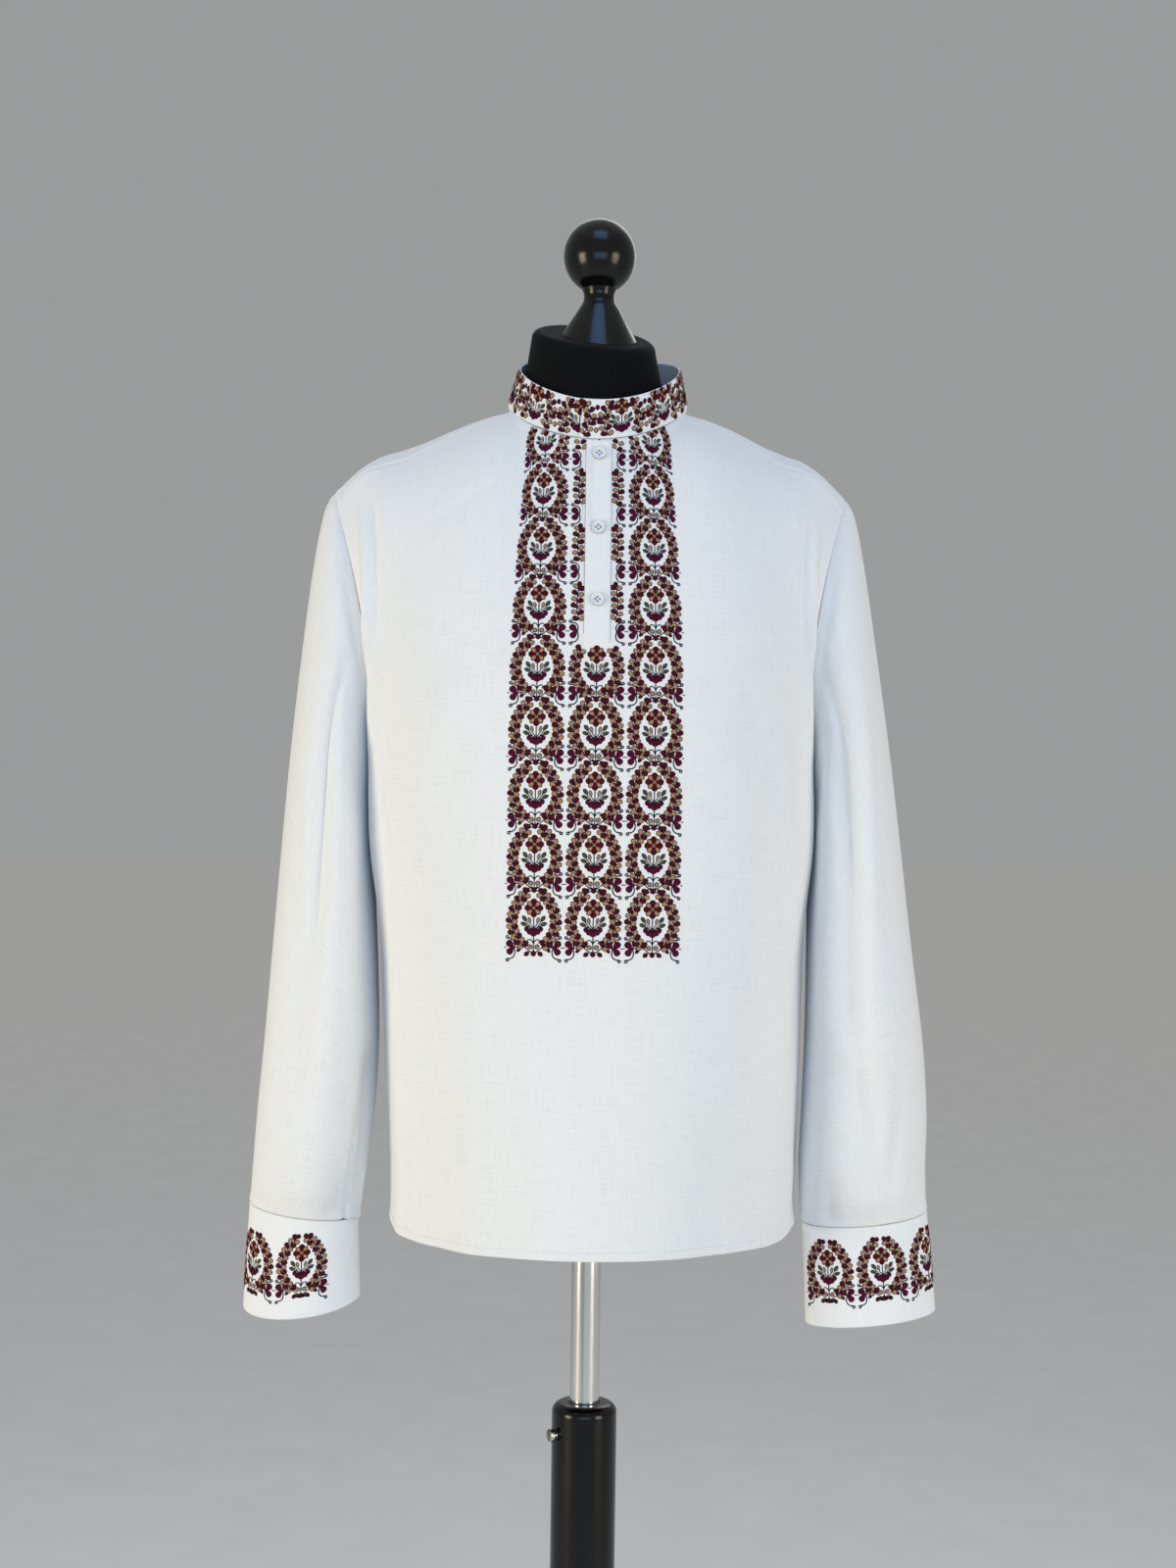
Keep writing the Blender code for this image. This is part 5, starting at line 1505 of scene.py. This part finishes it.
# ---------------------------------------------------------------- buttons
HOLE_RADIUS, HOLE_OFFSET = 0.0008, 0.0018
BUTTON_AIM = 0.01       # a button faces from its place to a point this far off the cloth
BUTTON_BACK, CUFF_BUTTON_BACK = 0.0015, 0.0001
CUFF_BUTTON_V, CUFF_BUTTON_TURN = 0.041, 1.7
# The button's outline in shares of its radius and thickness.
BUTTON_PROFILE = (
    (0, 0), (0.70, 0), (0.90, 0.18), (1, 0.55), (0.99, 0.78), (0.93, 0.95), (0.86, 1),
    (0.79, 0.96), (0.71, 0.80), (0.64, 0.70), (0.4, 0.66), (0, 0.66))


def button_mesh():
    """A four-hole button with a raised rim, facing +Z from its back at 0."""
    profile = [(BUTTON_RADIUS * x, BUTTON_THICKNESS * z) for x, z in BUTTON_PROFILE]
    blank = turned("button_blank", profile, PEARL, segments=48)
    bm = bmesh.new()
    places = [Vector((x, y, 0)) * HOLE_OFFSET for x, y in ((1, 0), (0, 1), (-1, 0), (0, -1))]
    for place in places:
        made = bmesh.ops.create_cone(
            bm, cap_ends=True, segments=16, radius1=HOLE_RADIUS, radius2=HOLE_RADIUS,
            depth=BUTTON_THICKNESS * 3)
        bmesh.ops.translate(bm, verts=made["verts"], vec=place)
    mesh = cut_by(blank, bm, "button_holes")
    mesh.materials.clear()
    mesh.materials.append(PEARL)
    mesh.materials.append(BUTTON_SHADE)
    # Painted shade: the holes' walls and the outer rim ring take the darker copy of the pearl.
    for face in mesh.polygons:
        centre = Vector((face.center.x, face.center.y, 0))
        bored = any((centre - place).length < HOLE_RADIUS + 0.00005 for place in places)
        face.material_index = int(bored or centre.length > BUTTON_RADIUS * 0.955)
    return mesh


def place_button(name, node, mesh, ground, u, v, back_height):
    """A button that faces out from a cloth surface, with its back at a height off it."""
    base, above = (ground.at(np.array(u), np.array(v), np.array(h))
                   for h in (back_height, BUTTON_AIM))
    dress(set_on(name, mesh.copy(), base, above - base), "button", "bust", node)


# ---------------------------------------------------------------- the dress form
def bridge(bm, low, high, turned_over=False):
    """Faces between two closed lines of points."""
    for k in range(len(low)):
        n = (k + 1) % len(low)
        face = (low[k], low[n], high[n], high[k])
        bm.faces.new((low[n], low[k], high[k], high[n]) if turned_over else face)


def form_halves():
    """The form's front and back as grids of points, bottom first, with shared side points."""
    columns = panel_columns()
    halves = []
    for back in (False, True):
        lower = np.stack([section(FORM.at(np.full(len(columns), z)), 0.0, columns, back)
                          for z in FORM_HEIGHTS])
        grid = body_grid(back)
        normals = facing_normals(grid, back)
        v = spread(0, 1, UPPER_ROWS)[:, None]
        inset = FORM_INSET.at(v).inset + FORM_ARM_INSET * np.abs(columns) ** 8
        at_neck = np.abs(columns) < NECK_SHARE + 0.001
        inset = inset + FORM_NECK_INSET * smoothstep(v) * at_neck
        upper = grid[LOWER_ROWS:] - normals[LOWER_ROWS:] * inset[..., None]
        halves.append(np.concatenate([lower, upper]))
    front, back = halves
    at_shoulder = np.abs(columns) > NECK_SHARE - 0.001
    back[-1, at_shoulder] = front[-1, at_shoulder]
    for end in (0, -1):
        back[:len(FORM_HEIGHTS) + 1, end] = front[:len(FORM_HEIGHTS) + 1, end]
    return front, back


NECK_ROUND = 0.0075     # how far the padded neck's top is rounded over
NECK_FLARE = 0.0065     # how much wider the neck grows towards its foot


def neck_top(x, y):
    return NECK_TOP + y * NECK_TOP_SLOPE + x * NECK_TOP_TILT


def make_form():
    """The form's stretch cover: an armless torso, its neck, and a plate at each arm."""
    front, back = form_halves()
    rows = np.concatenate([
        np.linspace(0, 2, 9)[:-1],
        np.linspace(2, front.shape[0] - 1, (front.shape[0] - 3) * 3 + 1),
    ])
    columns = np.linspace(0, LAST_COLUMN, LAST_COLUMN * 4 + 1)
    front, back = (refined(half, rows, columns) for half in (front, back))
    s = np.interp(columns, np.arange(LAST_COLUMN + 1), panel_columns())
    at_shoulder = np.abs(s) > NECK_SHARE - 0.0001
    back[-1, at_shoulder] = front[-1, at_shoulder]
    ring = np.concatenate([front, back[:, ::-1]], axis=1)
    span = len(s)
    bm = bmesh.new()
    lines = [[bm.verts.new(point) for point in line] for line in ring]
    for low, high in zip(lines, lines[1:]):
        bridge(bm, low, high)
    top = lines[-1]
    at_neck = [k for k in range(span) if not at_shoulder[k] or abs(abs(s[k]) - NECK_SHARE) < 0.001]
    neckline = [top[k] for k in at_neck] + [top[2 * span - 1 - k] for k in reversed(at_neck)]
    mid_x = 0.0
    steps = [(0.00, NECK_FOOT_RADIUS, 0.0), (0.12, NECK_RADIUS + 0.0012, 0.0)]
    steps += [(share, NECK_RADIUS, 0.0) for share in (0.25, 0.5, 0.75, 0.93)]
    steps += [(1.0, NECK_RADIUS - NECK_ROUND * (1 - math.cos(a)), NECK_ROUND * math.sin(a))
              for a in np.radians((0, 15, 30, 45, 60, 75, 88))]
    steps += [(1.0, NECK_RADIUS * share, NECK_ROUND) for share in (0.82, 0.6, 0.3)]
    for share, radius, edge in steps:
        upper = []
        for vert in neckline:
            wider = NECK_FLARE * (1 - share) if share else 0
            flat = Vector((vert.co.x - mid_x, vert.co.y, 0)).normalized() * (radius + wider)
            flat.x += NECK_LEAN
            low = NECK_FOOT_Z + flat.y * NECK_FOOT_SLOPE
            high = neck_top(flat.x, flat.y) - NECK_ROUND
            upper.append(bm.verts.new((flat.x, flat.y, low + (high - low) * share + edge)))
        mid_x = NECK_LEAN
        bridge(bm, neckline, upper)
        neckline = upper
    bm.faces.new(neckline)
    socket = POLE_RADIUS + BORE_CLEARANCE
    foot = lines[0]
    for z in (FORM_HEIGHTS[0], POLE_TOP + SEAM_GAP):
        upper = []
        for vert in foot:
            angle = math.atan2(vert.co.y, vert.co.x)
            upper.append(bm.verts.new((socket * math.cos(angle), socket * math.sin(angle), z)))
        bridge(bm, foot, upper, turned_over=True)
        foot = upper
    bm.faces.new(foot)
    bmesh.ops.remove_doubles(bm, verts=bm.verts, dist=0.00002)
    bmesh.ops.dissolve_degenerate(bm, edges=bm.edges, dist=0.00001)
    bmesh.ops.recalc_face_normals(bm, faces=bm.faces)
    mesh = mesh_from(bm, "form_cover")
    mesh.shade_smooth()
    mesh.set_sharp_from_angle(angle=math.radians(50))
    mesh.materials.append(JERSEY)
    return linked("form_cover", mesh)


# The finial's stem between its foot and its ball: radius and height.
FINIAL_STEM = (
    (0.0184, 1.5170), (0.0142, 1.5240), (0.0133, 1.5258), (0.0127, 1.5284), (0.0126, 1.5308),
    (0.0130, 1.5332))


def make_finial():
    """The turned knob, its foot cut to the slope of the neck's top."""
    flare = (FINIAL_SHOULDER_Z - NECK_TOP) / (FINIAL_FOOT_RADIUS - FINIAL_SHOULDER_RADIUS)

    def foot(angle):
        slope = np.sin(angle) * NECK_TOP_SLOPE + np.cos(angle) * NECK_TOP_TILT
        radius = np.minimum(FINIAL_FOOT_RADIUS, FINIAL_FOOT_RADIUS * flare / (flare + slope))
        return radius, NECK_TOP + radius * slope + SEAM_GAP

    profile = [
        (0, NECK_TOP + SEAM_GAP), (FINIAL_FOOT_RADIUS, NECK_TOP), *FINIAL_STEM,
        *arc(0, FINIAL_MID, FINIAL_RADIUS * 1.035, -61, 84, 36, FINIAL_HALF_HEIGHT),
        (0, FINIAL_MID + FINIAL_HALF_HEIGHT)]
    return turned("finial_knob", profile, LACQUER, foot=foot)


def make_stand():
    """The tube, the column that it slides in, and the base plate."""
    inside = POLE_RADIUS - POLE_BEVEL
    profile = [
        (0, POLE_BOTTOM), (inside, POLE_BOTTOM), (POLE_RADIUS, POLE_BOTTOM + POLE_BEVEL),
        (POLE_RADIUS, POLE_TOP - POLE_BEVEL), (inside, POLE_TOP), (0, POLE_TOP)]
    pole = turned("pole_tube", profile, CHROME)
    bore = POLE_RADIUS + BORE_CLEARANCE
    foot = BASE_THICKNESS + SEAM_GAP
    profile = [
        (0, foot), (COLUMN_RADIUS, foot),
        *arc(COLUMN_RADIUS - COLUMN_ROUND, COLUMN_TOP - COLUMN_ROUND, COLUMN_ROUND, 0, 90, 14),
        *arc(bore + BORE_ROUND, COLUMN_TOP - BORE_ROUND, BORE_ROUND, 90, 180, 4),
        (bore, COLUMN_FLOOR), (0, COLUMN_FLOOR)]
    column = turned("column_tube", profile, LACQUER)
    profile = [
        (0, 0), (BASE_RADIUS - 0.003, 0), (BASE_RADIUS - 0.0009, 0.0009), (BASE_RADIUS, 0.003),
        *arc(BASE_RADIUS - BASE_ROUND, BASE_THICKNESS - BASE_ROUND, BASE_ROUND, 0, 90, 10),
        (0.06, BASE_THICKNESS), (0, BASE_THICKNESS)]
    base = turned("base_plate", profile, LACQUER, segments=128)
    return pole, column, base


SCREW_PROFILE = (
    (0, 0), (0.0038, 0), (0.0038, 0.002), (0.0050, 0.0023), (0.0053, 0.0028),
    (0.0053, 0.0052), (0.0049, 0.0061), (0.0042, 0.0065), (0, 0.0065))
SCREW_SLOT = (0.0012, 0.02, 0.0018)


def make_screw():
    """The set screw: a turned head with a driver slot."""
    blank = turned("set_screw_blank", SCREW_PROFILE, CHROME, segments=48)
    bm = bmesh.new()
    made = bmesh.ops.create_cube(bm, size=1.0)
    bmesh.ops.scale(bm, verts=made["verts"], vec=SCREW_SLOT)
    bmesh.ops.translate(bm, verts=made["verts"], vec=(0, 0, SCREW_PROFILE[-1][1]))
    facing = Vector((-math.sin(SCREW_ANGLE), -math.cos(SCREW_ANGLE), 0))
    point = facing * (COLUMN_RADIUS + SEAM_GAP) + Vector((0, 0, SCREW_Z))
    return set_on("set_screw", cut_by(blank, bm, "slot"), point, facing)


# ---------------------------------------------------------------- the embroidery
COLUMN_PITCH, ROW_PITCH = 0.0453, 0.0485
ROWS_OF_MEDALLIONS, LOWEST_MIDDLE = 9, 0.0215
TOP_MARGIN, PLACKET_MARGIN = 0.002, 0.005
COLLAR_REPEATS, COLLAR_START, COLLAR_END = 10, 0.0185, 0.0150
COLLAR_PAIR_U, COLLAR_PAIR_V, COLLAR_FLOWER_V = -0.0014, 0.0162, 0.0160
CUFF_PITCH, CUFF_SCALE = 0.0445, 0.98


def front_embroidery(ground, height_of):
    """Three columns of medallions; the middle one gives way to the placket."""
    motif, cut_short, beside, made = medallion(), medallion("open"), twig(), Pattern()
    placket = height_of(PLACKET_BOTTOM)

    def keep(u, v):
        return v < ground.top(u) - TOP_MARGIN

    for column in (-1, 0, 1):
        for row in range(ROWS_OF_MEDALLIONS):
            middle = row * ROW_PITCH + LOWEST_MIDDLE
            covered, below = (column == 0 and middle + rise > placket - PLACKET_MARGIN
                              for rise in (0, ROW_PITCH))
            made.add(beside if covered else cut_short if below else motif,
                     column * COLUMN_PITCH, middle, keep=keep)
    return sew("embroidery_front", made, ground)


def crossed_branches():
    """Two leafy branches that bow together at their middles, between the collar's sprigs."""
    made = Pattern()
    for side, _ in SIDES:
        branch(made, mirrored(BOWED, side), 4.6, side, 0.06, 0.95, reach=2.5, full=1.06)
        made.patch(side * 11.6, 13.6, 4.2, 3.2, 90 - side * 52, "red")
        made.patch(side * 2.2, 0.2, 4.2, 2.4, 0, "red", "leaf")
        made.patch(0, side * 9.6 + 0.4, 3.4, 2.4, 90, "red" if side > 0 else "tan")
    return made


def collar_embroidery(ground, whole):
    """Sprigs and crossed branches in turn, from the lap right round to behind it."""
    made, flower, pair = Pattern(), Pattern(), crossed_branches()
    sprig(flower)
    pitch = (whole - COLLAR_END - COLLAR_START) / COLLAR_REPEATS
    for k in range(COLLAR_REPEATS + 1):
        made.add(pair, pitch * k + COLLAR_PAIR_U, COLLAR_PAIR_V)
        made.add(flower, pitch * k + COLLAR_START, COLLAR_FLOWER_V)
    return sew("embroidery_collar", made, ground)


def cuff_embroidery(name, ground, along, start, count, middle):
    """A row of medallions round a cuff from the angle where it starts, towards the outside."""
    motif, made = medallion("closed"), Pattern()
    first = along(start)
    step = CUFF_PITCH if along(start - 20) > first else -CUFF_PITCH
    for k in range(count):
        made.add(motif, first + k * step, middle, scale=CUFF_SCALE)
    return sew(name, made, ground)


# ---------------------------------------------------------------- everything together
def cloth_on_bust(made, *nodes):
    dress(made, "shirt_cloth", "bust", *nodes)


front, front_outer, front_normals, front_ground, height_of = make_front()
cloth_on_bust(front, "front")
back_outer, back_normals = panel(True)
back = cloth_piece("shirt_back", back_outer[:, ::-1], back_normals[:, ::-1], SHOWN_CLOTH, COTTON)
cloth_on_bust(back, "back")

placket, placket_under, placket_stitches_and_shadows = make_placket(front_ground, height_of)
cloth_on_bust(placket, "placket")
cloth_on_bust(placket_under, "placket_under")
cloth_on_bust(placket_stitches_and_shadows)

collar, collar_ground, collar_whole = make_collar()
cloth_on_bust(collar, "collar")

CUFF_EMBROIDERY = {-1: (93, 4, 0.0436), 1: (130.5, 5, 0.0466)}
cuff_grounds = {}
for side, word in SIDES:
    sleeve = make_sleeve(side, word)
    cloth_on_bust(sleeve, "sleeve_" + word)
    cuff, ground, along = make_cuff(side, word)
    cuff_grounds[side] = ground, along
    cloth_on_bust(cuff, "cuff_" + word)
    start, count, middle = CUFF_EMBROIDERY[side]
    cloth_on_bust(cuff_embroidery("embroidery_cuff_" + word, ground, along, start, count, middle))

cloth_on_bust(front_embroidery(front_ground, height_of))
cloth_on_bust(collar_embroidery(collar_ground, collar_whole))
cloth_on_bust(hem_stitches("hem_stitches_front", front_outer, front_normals))
cloth_on_bust(hem_stitches("hem_stitches_back", back_outer[:, ::-1], back_normals[:, ::-1]))

mesh = button_mesh()
for number, z in enumerate(BUTTON_HEIGHTS, 1):
    place_button(f"shirt_button_{number}", f"button_{number}", mesh, front_ground, 0.0,
                 height_of(z), BUTTON_BACK)
for side, word in SIDES:
    ground, along = cuff_grounds[side]
    place_button("shirt_cuff_button_" + word, "cuff_button_" + word, mesh, ground,
                 along(math.degrees(CUFF_BUTTON_ANGLE) + CUFF_BUTTON_TURN), CUFF_BUTTON_V,
                 CUFF_BUTTON_BACK)

dress(make_form(), "form_cloth", "bust", "form_torso")
dress(make_finial(), "lacquer", "bust", "finial")
pole, column, base = make_stand()
dress(pole, "chrome", "mast", "pole")
dress(column, "black_metal", "stand", "column")
dress(base, "black_metal", "stand", "base")
dress(make_screw(), "chrome", "stand", "clamp_screw")


# ---------------------------------------------------------------- floor and light
def make_floor():
    points = [(-30, -30, -0.0005), (30, -30, -0.0005), (30, 30, -0.0005), (-30, 30, -0.0005)]
    made = Shader("pale_floor", (0.92, 0.915, 0.90), 0.7, Specular_IOR_Level=0.2)
    fine = made.noise((9, 9, 9), 5)
    made.shades(fine, (0.90, 0.895, 0.88), (0.94, 0.935, 0.92), 0.3, 0.7)
    made.bump(made.noise((60, 60, 60), 3), 0.0003, 0.2)
    floor = new_piece("floor", points, [(0, 1, 2, 3)], [made.done()])


# Name, place, the height on the axis that it points at, width and height, power and colour.
AREA_LIGHTS = (
    ("front", (0.2, -3.9, 1.0), 1.0, (3.0, 1.2), 7.6, (0.32, 0.65, 1.0)),
    ("left", (-2.9, -1.8, 0.95), 0.9, (1.2, 1.6), 14.0, (1.0, 0.86, 0.62)),
    ("right", (2.6, -2.0, 0.95), 0.9, (1.2, 1.6), 9.0, (1.0, 0.90, 0.74)),
    ("window", (0.1, -1.5, 4.0), 1.4, (1.8, 1.4), 6, (0.22, 0.50, 1.0)),
    ("rear", (0.5, 2.6, 2.8), 1.2, (2.0, 2.0), 4, (1.0, 0.98, 0.95)),
)


def area_light(name, location, aim_z, size, power, colour):
    data = bpy.data.lights.new(name, "AREA")
    data.shape, data.size, data.size_y = "RECTANGLE", size[0], size[1]
    data.energy, data.color, data.spread = power, colour, math.radians(90)
    made = linked(name, data)
    made.location = location
    heading = Vector((0, 0, aim_z)) - Vector(location)
    made.rotation_euler = heading.to_track_quat("-Z", "Y").to_euler()


def make_light():
    world = bpy.data.worlds.new("pale_room")
    world.use_nodes = True
    sky = world.node_tree.nodes["Background"]
    sky.inputs["Color"].default_value = (0.775, 0.785, 0.79, 1.0)
    sky.inputs["Strength"].default_value = 0.42
    bpy.context.scene.world = world
    for row in AREA_LIGHTS:
        area_light(*row)
    data = bpy.data.lights.new("above", "SUN")
    data.energy, data.angle, data.color = 0.12, math.radians(80), (1.0, 0.98, 0.94)
    linked("above", data)


make_floor()
make_light()

bpy.context.scene.view_settings.view_transform = "Standard"
bpy.context.view_layer.update()
